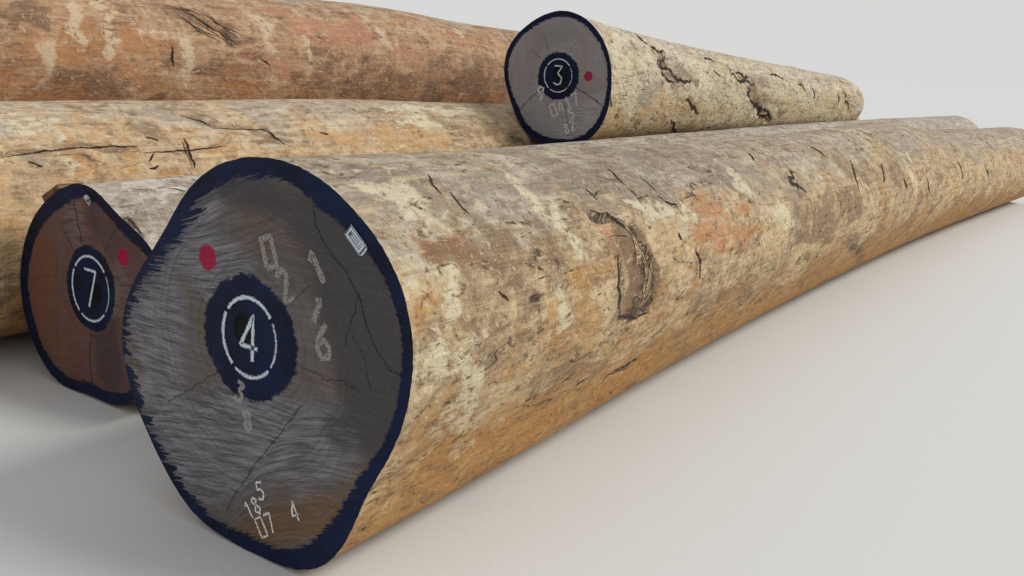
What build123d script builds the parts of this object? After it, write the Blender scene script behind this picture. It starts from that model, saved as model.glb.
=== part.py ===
from build123d import *
import math
import os
from dataclasses import dataclass, field

import numpy as np

# A heap of debarked round logs, in millimetres. +X runs along the logs from the near sawn ends to
# the far ends, +Y from the front of the heap to its back, and +Z up. The ground is at Z 0.

# Front log: the largest, lying on the ground in front.
front_length = 11800
front_near_radius = 499
front_far_radius = 420
front_swell = 10
front_rise = 10
front_bow = 150
front_turn = 110

# Second log: on the ground behind the front log, thin end near.
second_near_x = 354
second_length = 12500
second_near_radius = 400
second_far_radius = 455
second_swell = 12
second_rise = 24

# Third log: on the ground behind the second.
third_near_x = -210
third_length = 12000
third_near_radius = 481
third_far_radius = 445
third_swell = 10
third_rise = 10
third_y = 2105
third_turn = 110

# Rear log: hidden on the ground behind the third.
rear_near_x = -60
rear_length = 11600
rear_near_radius = 352
rear_far_radius = 340
rear_gap = 260

# Upper log: a short one in the groove between the second and third.
upper_near_x = 3790
upper_length = 6300
upper_near_radius = 406
upper_far_radius = 315
upper_flare = 72
upper_flare_reach = 900
upper_rounding_length = 900
upper_rounding_depth = 210

# Back log: in the groove between the third and the rear log.
back_near_x = 420
back_length = 11200
back_near_radius = 440
back_far_radius = 392
back_swell = 8

# Outlines: each lobe is a count round the trunk, a depth as a share of the radius, and the
# direction of one crest in degrees, from the front side (0) over the top (90) to the back (180).
front_near_lobes = [
    (2, 0.076, 50),
    (3, 0.023, 53),
    (4, 0.030, 14),
    (5, 0.010, 27),
    (6, 0.014, 1),
    (7, 0.006, -15),
    (8, 0.004, -17),
]
front_far_lobes = [(2, 0.030, 75), (3, 0.022, 10), (5, 0.010, 0)]
second_near_lobes = [(2, 0.073, 5), (3, 0.028, -12), (4, 0.018, 21), (5, 0.022, 19), (7, 0.008, -15)]
second_far_lobes = [(2, 0.030, 60), (3, 0.020, 80), (4, 0.010, 20)]
third_near_lobes = [(2, 0.020, 20), (3, 0.018, 70), (5, 0.008, 30)]
third_far_lobes = [(2, 0.030, -30), (3, 0.012, 20), (4, 0.010, 0)]
upper_near_lobes = [(2, 0.041, -61), (3, 0.019, 54), (4, 0.014, -24), (5, 0.012, 23)]
upper_far_lobes = [(2, 0.035, 60), (3, 0.025, 15), (5, 0.012, 40)]
back_near_lobes = [(2, 0.022, 10), (3, 0.016, 60), (5, 0.008, 20)]
back_far_lobes = [(2, 0.026, 70), (3, 0.014, -20), (4, 0.008, 10)]
plain_lobes = [(2, 0.012, 0)]

# Swellings on the front log: distance from its near end, direction, height, reach along the trunk
# and reach round it in degrees.
front_bulges = [
    (500, -50, 28, 1500, 30),
    (2400, 80, -30, 1700, 60),
    (6000, 85, 50, 900, 55),
    (7900, 85, -18, 800, 60),
    (11200, 80, 25, 1000, 60),
]
third_bulges = [(2600, 75, 20, 900, 50)]
back_bulges = [(2900, 60, 55, 900, 60)]

# Trunk surfaces.
outline_points = 36
station_spacing = 420
check_spacing = 150
check_points = 240
seat_gap = 0.3

# Label plate on the front log's near face, with its nail. Across is measured from the trunk's
# centre towards the front, up from the ground.
label_across = 322
label_up = 866
label_length = 68
label_width = 31
label_thickness = 1.6
label_corner = 9
label_tilt = -40
bead_width = 4
bead_height = 1.6
label_nail_offset = 22

# Curled metal tag on the second log's near face, with its nail.
curl_across = 18
curl_up = 707
curl_strip_width = 20
curl_leg = 24
curl_radius = 9
curl_thickness = 1.2
curl_turn = 250
curl_tilt = 62

# Nails.
nail_radius = 1.6
nail_head_radius = 4.5
nail_head_thickness = 1.4
nail_length = 32
nail_clearance = 0.05

# Loose splinter lying on the rim of the second log's near end.
splinter_direction = 124
splinter_setback = 6
splinter_length = 95
splinter_width = 112
splinter_thick_edge = 24
splinter_thin_edge = 15


@dataclass
class Trunk:
    """One trunk: its outline at any distance from the near end, and where its two ends lie."""

    near_x: float
    length: float
    near_radius: float
    far_radius: float
    near_lobes: list
    far_lobes: list
    swell: float = 0
    bow: float = 0
    rise: float = 0
    flare: float = 0
    flare_reach: float = 1
    rounding_length: float = 0
    rounding_depth: float = 0
    bulges: list = field(default_factory=list)
    near_y: float = 0
    far_y: float = 0
    near_z: float = 0
    far_z: float = 0

    def radius(self, along, angles):
        """Distance from the trunk's centre to its surface, for angles in radians."""
        share = along / self.length
        mean = self.near_radius + (self.far_radius - self.near_radius) * share
        mean += self.swell * math.sin(math.pi * share)
        mean += self.flare * math.exp(-along / self.flare_reach)
        shape = np.ones_like(angles)
        blend = share * share * (3 - 2 * share)
        for weight, lobes in ((1 - blend, self.near_lobes), (blend, self.far_lobes)):
            for count, depth, direction in lobes:
                shape = shape + weight * depth * np.cos(count * (angles - math.radians(direction)))
        result = mean * shape
        for centre, direction, height, reach, spread in self.bulges:
            turn = np.degrees(np.angle(np.exp(1j * (angles - math.radians(direction)))))
            fade = math.exp(-((along - centre) / reach) ** 2)
            result = result + height * fade * np.exp(-((turn / spread) ** 2))
        into_end = along - (self.length - self.rounding_length)
        if self.rounding_depth and into_end > 0:
            result = result - self.rounding_depth * (into_end / self.rounding_length) ** 2
        return result

    def centre(self, along):
        """Y and Z of the trunk's centre."""
        share = along / self.length
        y = self.near_y + (self.far_y - self.near_y) * share + self.bow * math.sin(math.pi * share)
        z = self.near_z + (self.far_z - self.near_z) * share + self.rise * math.sin(math.pi * share)
        return y, z

    def outline(self, along, count):
        """Offsets of the outline from the trunk's centre, towards the back and up."""
        angles = np.arange(count) * 2 * math.pi / count
        radii = self.radius(along, angles)
        return -radii * np.cos(angles), radii * np.sin(angles)

    def stations(self):
        """Distances from the near end at which the trunk's outline is drawn."""
        body = self.length - self.rounding_length
        pieces = max(2, round(body / station_spacing))
        result = [body * index / pieces for index in range(pieces + 1)]
        if self.rounding_length:
            steps = 6
            result += [body + self.rounding_length * (index + 1) / steps for index in range(steps)]
        return result

    def shift(self, y, z):
        self.near_y += y
        self.far_y += y
        self.near_z += z
        self.far_z += z

    def solid(self):
        """One smooth skin through the outlines, closed by the two flat ends."""
        sections = []
        for along in self.stations():
            centre_y, centre_z = self.centre(along)
            across, up = self.outline(along, outline_points)
            x = self.near_x + along
            points = [(x, centre_y + y, centre_z + z) for y, z in zip(across, up)]
            sections.append(Face(Wire([Spline(*points, periodic=True)])))
        return loft(sections)


def edge_profile(trunk, along, side):
    """The trunk's outline seen from one side: positions across the view, and the surface's reach."""
    across, up = trunk.outline(along, check_points)
    centre_y, centre_z = trunk.centre(along)
    across = across + centre_y
    up = up + centre_z
    if side in ("top", "bottom"):
        place, reach, middle = across, up, centre_z
    else:
        place, reach, middle = up, across, centre_y
    keep = reach >= middle if side in ("top", "back") else reach <= middle
    order = np.argsort(place[keep])
    return place[keep][order], reach[keep][order]


def section_gap(first, second, x, first_side, second_side):
    """Least distance from the first trunk's side to the second's facing side at one X."""
    place_a, reach_a = edge_profile(first, x - first.near_x, first_side)
    place_b, reach_b = edge_profile(second, x - second.near_x, second_side)
    low = max(place_a[0], place_b[0])
    high = min(place_a[-1], place_b[-1])
    if high <= low:
        return math.inf
    grid = np.linspace(low, high, check_points)
    return float(np.min(np.interp(grid, place_b, reach_b) - np.interp(grid, place_a, reach_a)))


def trunk_gap(first, second, first_side, second_side):
    """Least such distance over the whole length that the two trunks share."""
    start = max(first.near_x, second.near_x)
    end = min(first.near_x + first.length, second.near_x + second.length)
    steps = max(2, math.ceil((end - start) / check_spacing))
    places = np.linspace(start, end, steps + 1)
    return min(section_gap(first, second, x, first_side, second_side) for x in places)


def lay_on_ground(trunk):
    """Both ends down on the ground, then the whole raised until nothing is below it."""
    trunk.near_z = -float(trunk.outline(0, check_points)[1].min())
    trunk.far_z = -float(trunk.outline(trunk.length, check_points)[1].min())
    lowest = min(
        trunk.centre(along)[1] + float(trunk.outline(along, check_points)[1].min())
        for along in np.linspace(0, trunk.length, 80)
    )
    trunk.shift(0, -lowest)


def push_against(trunk, neighbour):
    """Slide a trunk towards the back until it touches its neighbour there."""
    trunk.shift(trunk_gap(trunk, neighbour, "back", "front") - seat_gap, 0)


def pull_against(trunk, neighbour):
    """Slide a trunk towards the front until it touches its neighbour there."""
    trunk.shift(seat_gap - trunk_gap(neighbour, trunk, "back", "front"), 0)


def wedge_between(trunk, front, back):
    """Touch the back neighbour near one end and the front neighbour somewhere along the other."""
    start = trunk.near_y
    low, high = start - 2 * trunk.near_radius, start + 2 * trunk.near_radius
    for _ in range(30):
        trunk.near_y = start
        trunk.far_y = (low + high) / 2
        push_against(trunk, back)
        if trunk_gap(front, trunk, "back", "front") > seat_gap:
            high = (low + high) / 2
        else:
            low = (low + high) / 2


def groove_place(trunk, front, back, x):
    """Y and Z of the trunk's centre where its outline at x lies on both logs below it."""
    along = x - trunk.near_x
    low = front.centre(x - front.near_x)[0]
    high = back.centre(x - back.near_x)[0]
    probe = Trunk(**{**trunk.__dict__})
    start_y, start_z = probe.centre(along)
    probe.shift((low + high) / 2 - start_y, 0)
    for _ in range(30):
        on_front = section_gap(front, probe, x, "top", "bottom")
        on_back = section_gap(back, probe, x, "top", "bottom")
        middle = probe.centre(along)[0]
        if on_front < on_back:
            low = middle
        else:
            high = middle
        probe.shift((low + high) / 2 - middle, 0)
    return probe.centre(along)[0], start_z - min(on_front, on_back)


def lay_in_groove(trunk, front, back):
    """Line the trunk up with the groove at two places, then lower it until it touches."""
    trunk.shift(0, 4 * trunk.near_radius)
    first_share, second_share = 0.12, 0.75
    first = groove_place(trunk, front, back, trunk.near_x + first_share * trunk.length)
    second = groove_place(trunk, front, back, trunk.near_x + second_share * trunk.length)
    slope_y = (second[0] - first[0]) / (second_share - first_share)
    slope_z = (second[1] - first[1]) / (second_share - first_share)
    trunk.near_y = first[0] - slope_y * first_share
    trunk.far_y = trunk.near_y + slope_y
    trunk.near_z = first[1] - slope_z * first_share
    trunk.far_z = trunk.near_z + slope_z
    low, high = -trunk.near_radius, trunk.near_radius
    placed = 0
    for _ in range(30):
        middle = (low + high) / 2
        trunk.shift(middle - placed, 0)
        placed = middle
        on_front = trunk_gap(front, trunk, "top", "bottom")
        on_back = trunk_gap(back, trunk, "top", "bottom")
        if on_front < on_back:
            low = middle
        else:
            high = middle
    trunk.shift(0, seat_gap - min(on_front, on_back))


def front_trunk():
    trunk = Trunk(0, front_length, front_near_radius, front_far_radius, front_near_lobes,
                  front_far_lobes, swell=front_swell, rise=front_rise, bow=front_bow,
                  bulges=front_bulges)
    trunk.far_y = front_turn
    lay_on_ground(trunk)
    return trunk


def third_trunk():
    trunk = Trunk(third_near_x, third_length, third_near_radius, third_far_radius,
                  third_near_lobes, third_far_lobes, swell=third_swell, rise=third_rise,
                  bulges=third_bulges)
    trunk.near_y = third_y
    trunk.far_y = third_y + third_turn
    lay_on_ground(trunk)
    return trunk


def second_trunk(front, third):
    trunk = Trunk(second_near_x, second_length, second_near_radius, second_far_radius,
                  second_near_lobes, second_far_lobes, swell=second_swell, rise=second_rise)
    trunk.near_y = (front.near_y + third.near_y) / 2
    trunk.far_y = trunk.near_y
    lay_on_ground(trunk)
    wedge_between(trunk, front, third)
    return trunk


def rear_trunk(third):
    trunk = Trunk(rear_near_x, rear_length, rear_near_radius, rear_far_radius, plain_lobes,
                  plain_lobes)
    lay_on_ground(trunk)
    trunk.far_y = third_turn
    trunk.shift(third.near_y + third.near_radius + rear_gap + trunk.near_radius, 0)
    return trunk


def upper_trunk(second, third):
    trunk = Trunk(upper_near_x, upper_length, upper_near_radius - upper_flare, upper_far_radius,
                  upper_near_lobes, upper_far_lobes, flare=upper_flare,
                  flare_reach=upper_flare_reach, rounding_length=upper_rounding_length,
                  rounding_depth=upper_rounding_depth)
    lay_in_groove(trunk, second, third)
    return trunk


def back_trunk(third, rear):
    trunk = Trunk(back_near_x, back_length, back_near_radius, back_far_radius, back_near_lobes,
                  back_far_lobes, swell=back_swell, bulges=back_bulges)
    lay_in_groove(trunk, third, rear)
    return trunk


def face_place(trunk, across, up, tilt):
    """Place on a near face: local X runs along the tilt, local Z points out of the face."""
    origin = (trunk.near_x, trunk.near_y - across, up)
    plane = Plane(origin=origin, x_dir=(0, -1, 0), z_dir=(-1, 0, 0))
    return plane.location * Rotation(0, 0, tilt)


def nail():
    """Round nail along -Z, its head's underside at Z 0."""
    head = Pos(0, 0, nail_head_thickness / 2) * Cylinder(nail_head_radius, nail_head_thickness)
    shank = Pos(0, 0, -nail_length / 2) * Cylinder(nail_radius, nail_length)
    return head + shank


def nail_hole(depth_above):
    """Hole for the nail in whatever its shank passes, up to a height above the head's seat."""
    length = nail_length + depth_above + nail_clearance
    place = Pos(0, 0, depth_above - length / 2)
    return place * Cylinder(nail_radius + nail_clearance, length)


def label_plate():
    """Flat plate with rounded corners at one end and a raised bead along one long edge."""
    outline = Rectangle(label_length, label_width)
    end_corners = outline.vertices().group_by(Axis.X)[-1]
    outline = fillet(end_corners, label_corner)
    plate = extrude(outline, label_thickness)
    bead = Box(label_length - 2 * label_corner, bead_width, bead_height)
    bead_y = -label_width / 2 + bead_width
    bead = Pos(-label_corner, bead_y, label_thickness + bead_height / 2) * bead
    return plate + bead


def curled_tag():
    """Thin strip with a flat leg on the face and a free end that curls outwards."""
    leg = Pos(-curl_leg / 2, 0, curl_thickness / 2) * Box(curl_leg, curl_strip_width, curl_thickness)
    ring = Cylinder(curl_radius, curl_strip_width, arc_size=curl_turn)
    ring -= Cylinder(curl_radius - curl_thickness, curl_strip_width, arc_size=curl_turn)
    curl = Pos(0, 0, curl_radius) * Rotation(90, 0, 0) * Rotation(0, 0, -90) * ring
    return leg + curl


def rim_splinter(trunk):
    """Wedge-shaped chip lying against the trunk's surface just behind the near rim."""
    along = splinter_setback + splinter_length / 2
    angle = math.radians(splinter_direction)
    around = angle + np.linspace(-0.6, 0.6, check_points)
    places = np.linspace(splinter_setback, splinter_setback + splinter_length, 5)
    reach = max(float(np.max(trunk.radius(x, around) * np.cos(around - angle))) for x in places)
    corners = [
        (-splinter_width / 2, 0),
        (splinter_width / 2, 0),
        (splinter_width / 2, splinter_thin_edge),
        (-splinter_width / 2, splinter_thick_edge),
    ]
    chip = extrude(make_face(Polyline(*corners, close=True)), splinter_length / 2, both=True)
    centre_y, centre_z = trunk.centre(along)
    outward = Vector(0, -math.cos(angle), math.sin(angle))
    along_rim = Vector(0, -math.sin(angle), -math.cos(angle))
    seat = Vector(trunk.near_x + along, centre_y, centre_z) + outward * (reach + seat_gap)
    place = Plane(origin=seat, x_dir=along_rim, z_dir=along_rim.cross(outward))
    return place.location * chip


def face_pieces(front, second, pieces):
    """The tags, their nails and the nail holes in the two near faces."""
    label_place = face_place(front, label_across, label_up, label_tilt)
    label_nail_place = label_place * Pos(-label_nail_offset, 0, label_thickness)
    hole = label_nail_place * nail_hole(2 * bead_height)
    pieces["front_log"] -= hole
    pieces["front_tag"] = label_place * label_plate() - hole
    pieces["front_nail"] = label_nail_place * nail()

    curl_place = face_place(second, curl_across, curl_up, curl_tilt)
    curl_nail_place = curl_place * Pos(-curl_leg / 2, 0, curl_thickness)
    hole = curl_nail_place * nail_hole(curl_thickness)
    pieces["second_log"] -= hole
    pieces["second_tag"] = curl_place * curled_tag() - hole
    pieces["second_nail"] = curl_nail_place * nail()


def build():
    """All pieces by name, with the heap's origin at the centre of its base."""
    front = front_trunk()
    third = third_trunk()
    second = second_trunk(front, third)
    rear = rear_trunk(third)
    upper = upper_trunk(second, third)
    back = back_trunk(third, rear)
    pull_against(rear, back)
    trunks = {
        "front_log": front,
        "second_log": second,
        "third_log": third,
        "rear_log": rear,
        "upper_log": upper,
        "back_log": back,
    }
    pieces = {name: trunk.solid() for name, trunk in trunks.items()}
    face_pieces(front, second, pieces)
    pieces["rim_splinter"] = rim_splinter(second)
    boxes = [piece.bounding_box() for piece in pieces.values()]
    middle_x = (min(box.min.X for box in boxes) + max(box.max.X for box in boxes)) / 2
    middle_y = (min(box.min.Y for box in boxes) + max(box.max.Y for box in boxes)) / 2
    base = min(box.min.Z for box in boxes)
    return {name: Pos(-middle_x, -middle_y, -base) * piece for name, piece in pieces.items()}


os.makedirs("parts", exist_ok=True)
for name, piece in build().items():
    export_step(piece, f"parts/{name}.step")
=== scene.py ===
import math

import bpy
import numpy as np
from mathutils import Matrix, Vector
from mathutils.bvhtree import BVHTree


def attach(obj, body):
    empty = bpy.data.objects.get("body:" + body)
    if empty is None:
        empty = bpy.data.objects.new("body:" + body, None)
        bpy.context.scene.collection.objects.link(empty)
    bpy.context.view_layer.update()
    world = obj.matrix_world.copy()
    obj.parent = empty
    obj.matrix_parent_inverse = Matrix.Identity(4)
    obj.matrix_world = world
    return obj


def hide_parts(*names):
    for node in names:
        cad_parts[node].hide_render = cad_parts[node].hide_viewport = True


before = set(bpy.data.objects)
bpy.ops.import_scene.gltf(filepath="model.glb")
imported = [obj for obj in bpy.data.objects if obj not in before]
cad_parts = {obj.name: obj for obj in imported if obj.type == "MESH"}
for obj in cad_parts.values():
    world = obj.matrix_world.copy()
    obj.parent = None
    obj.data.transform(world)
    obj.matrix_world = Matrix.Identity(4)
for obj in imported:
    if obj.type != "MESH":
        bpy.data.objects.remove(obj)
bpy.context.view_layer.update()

# The camera, in metres and radians: it stands before and in front of the front log's near end.
camera_before_face = 1.610
camera_in_front = 1.822
camera_height = 1.300
camera_heading = 0.5873
camera_pitch = 0.2314
camera_roll = 0.0828
focal_px = 1010
frame_width_px = 1024
frame_height_px = 576
sensor_width = 36

# Relief of the wood, in metres, all of it inward from the solids' own surface.
skin_clearance = 0.0008
hollow_depth = 0.010
ridge_depth = 0.0032
edge_wear = 0.006
face_setback = 0.0006
face_relief = 0.0018
lowest_point = 0.0002

# How much wider the splits are than their tables say, and how far the edges of marks wander.
split_opening = 1.35
mark_sway = 4.0

# Spacing of the skins' points, in metres and degrees.
nearest_row = 0.009
row_growth = 0.0125
fine_turn = 0.75
coarse_turn = 6.0

# Rings of points on a sawn end: inside it and near its rim.
near_rings = (44, 26)
far_rings = (18, 10)

# Spacing of points along splits and strokes, and how far these stand off the surface, in metres.
split_spacing = 0.006
stroke_spacing = 0.004
face_crack_spacing = 0.008
split_proud = 0.0012
stroke_proud = 0.0004
face_crack_proud = 0.0003
sliver_proud = 0.0008

# The sides that the photograph doesn't show, in degrees round a trunk, and what is strewn on them.
unseen_arc = (118, 250)
unseen_marks = 40
unseen_splits = 26

# Rays toward a trunk start this far from its middle line, in metres.
ray_reach = 2.0


# Numbers and noise

def hashed(cells, seed):
    """A repeatable number from 0 to 1 for each row of three whole numbers."""
    mixed = cells[..., 0] * 374761393 + cells[..., 1] * 668265263 + cells[..., 2] * 2147483647
    mixed = (mixed + seed * 974634777) & 0xFFFFFFFF
    mixed = ((mixed ^ (mixed >> 13)) * 1274126177) & 0xFFFFFFFF
    mixed = mixed ^ (mixed >> 16)
    return (mixed & 0xFFFFFF) / 0xFFFFFF


def smooth_noise(points, seed):
    """Soft noise from 0 to 1 at points, with features about one unit across."""
    base = np.floor(points).astype(np.int64)
    part = points - base
    part = part * part * (3 - 2 * part)
    total = 0
    for x in (0, 1):
        for y in (0, 1):
            for z in (0, 1):
                weight = np.abs(1 - x - part[..., 0]) * np.abs(1 - y - part[..., 1])
                weight = weight * np.abs(1 - z - part[..., 2])
                total = total + weight * hashed(base + np.array([x, y, z]), seed)
    return total


def layered_noise(points, octaves, seed):
    """Several sizes of soft noise on top of one another, from 0 to 1."""
    total = 0
    weight = 1
    whole = 0
    for octave in range(octaves):
        total = total + weight * smooth_noise(points * 2 ** octave + 17.3 * octave, seed + octave)
        whole += weight
        weight *= 0.5
    return total / whole


def cubic_weights(part):
    """Weights of four neighbours for a smooth curve through them."""
    return (
        ((-part + 2) * part - 1) * part / 2,
        ((3 * part - 5) * part * part + 2) / 2,
        ((-3 * part + 4) * part + 1) * part / 2,
        (part - 1) * part * part / 2,
    )


def soft_step(value, low, high):
    """0 below low, 1 above high and smooth between them."""
    share = np.clip((value - low) / (high - low), 0, 1)
    return share * share * (3 - 2 * share)


def tone(red, green, blue):
    """A colour given as it looks on a screen, from 0 to 255, in the numbers a shader takes."""
    parts = [part / 255 for part in (red, green, blue)]
    linear = [part / 12.92 if part <= 0.04045 else ((part + 0.055) / 1.055) ** 2.4 for part in parts]
    return (*linear, 1)


def toned(**triples):
    """Named colours, each given as it looks on a screen."""
    return {name: tone(*triple) for name, triple in triples.items()}


# Lines of places

def near_line(along, across, line):
    """Distance in metres from each place to a line of places."""
    nearest = np.full(along.shape, 1e9)
    for (from_along, from_across), (to_along, to_across) in zip(line[:-1], line[1:]):
        run = np.array([to_along - from_along, to_across - from_across])
        size = max(float(run @ run), 1e-9)
        share = ((along - from_along) * run[0] + (across - from_across) * run[1]) / size
        share = np.clip(share, 0, 1)
        off = np.hypot(along - from_along - share * run[0], across - from_across - share * run[1])
        nearest = np.minimum(nearest, off)
    return nearest


def travel(line):
    """How far along a line each of its points lies."""
    return np.concatenate([[0], np.cumsum(np.hypot(*np.diff(line, axis=0).T))])


def points_at(line, travelled, places):
    """Points of a line at distances along it."""
    return np.stack([np.interp(places, travelled, line[:, k]) for k in (0, 1)], -1)


def even_line(line, spacing, fewest=0, most=1000, extra=0):
    """Points at even distances along a line."""
    line = np.array(line, float)
    travelled = travel(line)
    count = int(np.clip(travelled[-1] / spacing, fewest, most)) + extra
    return points_at(line, travelled, np.linspace(0, travelled[-1], count))


def square_to(path):
    """The direction square to a path at each of its points."""
    way = np.gradient(path, axis=0)
    way /= np.maximum(np.hypot(*way.T), 1e-9)[:, None]
    return np.stack([-way[:, 1], way[:, 0]], -1)


# The trunks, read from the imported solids

def solid_points(node):
    """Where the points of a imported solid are."""
    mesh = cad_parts[node].data
    places = np.zeros(len(mesh.vertices) * 3)
    mesh.vertices.foreach_get("co", places)
    return places.reshape(-1, 3)


class TrunkForm:
    """A trunk's own shape: its middle line and the distance from it to the surface."""

    rows_per_metre = 16
    columns = 90
    end_inset = 0.001
    end_thickness = 0.0005

    def __init__(self, node):
        places = solid_points(node)
        self.near_x = float(places[:, 0].min())
        self.far_x = float(places[:, 0].max())
        self.length = self.far_x - self.near_x
        self.near_centre = self.end_centre(places, self.near_x)
        self.far_centre = self.end_centre(places, self.far_x)
        self.tree = BVHTree.FromObject(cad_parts[node], bpy.context.evaluated_depsgraph_get())
        self.row_count = int(self.length * self.rows_per_metre) + 2
        self.row_step = self.length / (self.row_count - 1)
        self.row_along = np.arange(self.row_count) * self.row_step
        share = (self.row_along / self.length)[:, None]
        self.centres = self.near_centre + (self.far_centre - self.near_centre) * share
        self.find_middle()
        self.grid = self.measured(self.columns)
        self.mean_radius = float(self.grid[: self.row_count // 2].mean())

    def end_centre(self, places, x):
        end = places[np.abs(places[:, 0] - x) < self.end_thickness][:, 1:]
        return (end.min(0) + end.max(0)) / 2

    def measured(self, columns):
        """Distances to the surface along rays square to the length, on an even grid."""
        grid = np.zeros((self.row_count, columns))
        for row in range(self.row_count):
            along = min(max(self.row_along[row], self.end_inset), self.length - self.end_inset)
            origin = Vector((self.near_x + along, *self.centres[row]))
            for column in range(columns):
                angle = 2 * math.pi * column / columns
                outward = Vector((0, -math.cos(angle), math.sin(angle)))
                hit = self.tree.ray_cast(origin + outward * ray_reach, -outward)
                grid[row, column] = ray_reach - hit[3]
        return grid

    def find_middle(self):
        """Shifts the middle line from a straight one to the trunk's own, made smooth."""
        crossed = self.measured(4)
        off_y = (crossed[:, 2] - crossed[:, 0]) / 2
        off_z = (crossed[:, 1] - crossed[:, 3]) / 2
        share = self.row_along / self.length
        self.centres[:, 0] += np.polyval(np.polyfit(share, off_y, 4), share)
        self.centres[:, 1] += np.polyval(np.polyfit(share, off_z, 4), share)

    def middle(self, along):
        y = np.interp(along, self.row_along, self.centres[:, 0])
        z = np.interp(along, self.row_along, self.centres[:, 1])
        return y, z

    def radius(self, along, angle):
        """Distance from the middle line to the solid's surface."""
        row = np.clip(along / self.row_step, 0, self.row_count - 1.000001)
        column = (angle / (2 * math.pi) * self.columns) % self.columns
        row_base = np.floor(row).astype(int)
        column_base = np.floor(column).astype(int)
        row_weights = cubic_weights(row - row_base)
        column_weights = cubic_weights(column - column_base)
        total = 0
        for i in range(4):
            rows = np.clip(row_base + i - 1, 0, self.row_count - 1)
            for j in range(4):
                columns = (column_base + j - 1) % self.columns
                total = total + row_weights[i] * column_weights[j] * self.grid[rows, columns]
        return total

    def point(self, along, angle, lift):
        """Row-frame points on the solid's surface, raised by lift."""
        reach = self.radius(along, angle) + lift
        y, z = self.middle(along)
        return np.stack([self.near_x + along, y - reach * np.cos(angle), z + reach * np.sin(angle)], -1)

    def place_of(self, point):
        """Distance along the trunk and direction round it, in radians, of a row-frame point."""
        along = point[0] - self.near_x
        y, z = self.middle(along)
        return along, math.atan2(point[2] - z, y - point[1])


forms = {
    node: TrunkForm(node)
    for node in ("front_log", "second_log", "third_log", "rear_log", "upper_log", "back_log")
}
front = forms["front_log"]


# Camera

def camera_place():
    near_y = front.near_centre[0] - camera_in_front
    return Vector((front.near_x - camera_before_face, near_y, camera_height))


def camera_turn():
    """Right, up and forward directions of the camera."""
    heading = Vector((math.cos(camera_heading), math.sin(camera_heading), 0))
    level_right = Vector((math.sin(camera_heading), -math.cos(camera_heading), 0))
    forward = heading * math.cos(camera_pitch) - Vector((0, 0, math.sin(camera_pitch)))
    level_up = level_right.cross(forward)
    right = level_right * math.cos(camera_roll) + level_up * math.sin(camera_roll)
    up = level_up * math.cos(camera_roll) - level_right * math.sin(camera_roll)
    return right, up, forward


def add_camera():
    right, up, forward = camera_turn()
    camera = bpy.data.objects.new("camera", bpy.data.cameras.new("camera"))
    camera.data.sensor_width = sensor_width
    camera.data.lens = focal_px * sensor_width / frame_width_px
    camera.data.clip_end = 500
    turn = Matrix((right, up, -forward)).transposed().to_4x4()
    camera.matrix_world = Matrix.Translation(camera_place()) @ turn
    bpy.context.scene.collection.objects.link(camera)
    bpy.context.scene.camera = camera


def sight(pixel):
    """Where the line of sight through a pixel of the photograph starts and the way it goes."""
    right, up, forward = camera_turn()
    x = (pixel[0] - frame_width_px / 2) / focal_px
    y = (pixel[1] - frame_height_px / 2) / focal_px
    return camera_place(), (forward + right * x - up * y).normalized()


def line_on_trunk(form, pixels):
    """Places along a trunk and round it, in metres, of those of a line of pixels that meet it."""
    hits = [form.tree.ray_cast(*sight(pixel))[0] for pixel in pixels]
    places = [form.place_of(hit) for hit in hits if hit is not None]
    return [(along, angle * form.mean_radius) for along, angle in places]


def place_on_face(form, pixel):
    """Offsets toward the back and upward from the near face's centre where a pixel meets it."""
    start, direction = sight(pixel)
    point = start + direction * ((form.near_x - start.x) / direction.x)
    return point.y - form.near_centre[0], point.z - form.near_centre[1]


# Meshes

def add_fields(piece, **fields):
    """Numbers at a piece's points, for its material to read."""
    for name, values in fields.items():
        layer = piece.data.attributes.new(name, "FLOAT", "POINT")
        layer.data.foreach_set("value", np.ascontiguousarray(values, np.float32).ravel())


def wood_piece(name, points, faces, material, **fields):
    """A mesh piece of the wood or on it, which rides on the heap."""
    mesh = bpy.data.meshes.new(name)
    mesh.from_pydata(np.asarray(points).tolist(), [], np.asarray(faces).tolist())
    mesh.materials.append(material)
    mesh.polygons.foreach_set("use_smooth", np.full(len(mesh.polygons), True))
    mesh.update()
    piece = bpy.data.objects.new(name, mesh)
    bpy.context.scene.collection.objects.link(piece)
    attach(piece, "root")
    add_fields(piece, **fields)
    return piece


def grid_faces(rows, columns):
    """Quads of a grid of points."""
    row, column = np.meshgrid(np.arange(rows - 1), np.arange(columns - 1), indexing="ij")
    first = row * columns + column
    return np.stack([first, first + columns, first + columns + 1, first + 1], -1).reshape(-1, 4)


def strip_faces(first, rows, columns):
    """Quads of a small grid of points that starts at the first, facing the other way."""
    return [
        (corner, corner + 1, corner + columns + 1, corner + columns)
        for row in range(rows - 1)
        for corner in range(first + row * columns, first + (row + 1) * columns - 1)
    ]


def spaced_along(length):
    """Distances along a trunk, close together at the near end and growing apart."""
    places = [0.0]
    while places[-1] < length:
        places.append(places[-1] + nearest_row + row_growth * places[-1])
    places = np.array(places)
    return places * length / places[-1]


def spaced_around(fine_from, fine_to):
    """Directions round a trunk from the underside round to it again, close together on show."""
    parts = [
        np.arange(-90, fine_from, coarse_turn),
        np.arange(fine_from, fine_to, fine_turn),
        np.arange(fine_to, 270, coarse_turn),
        np.array([270.0]),
    ]
    return np.radians(np.concatenate(parts))


# Materials

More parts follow.
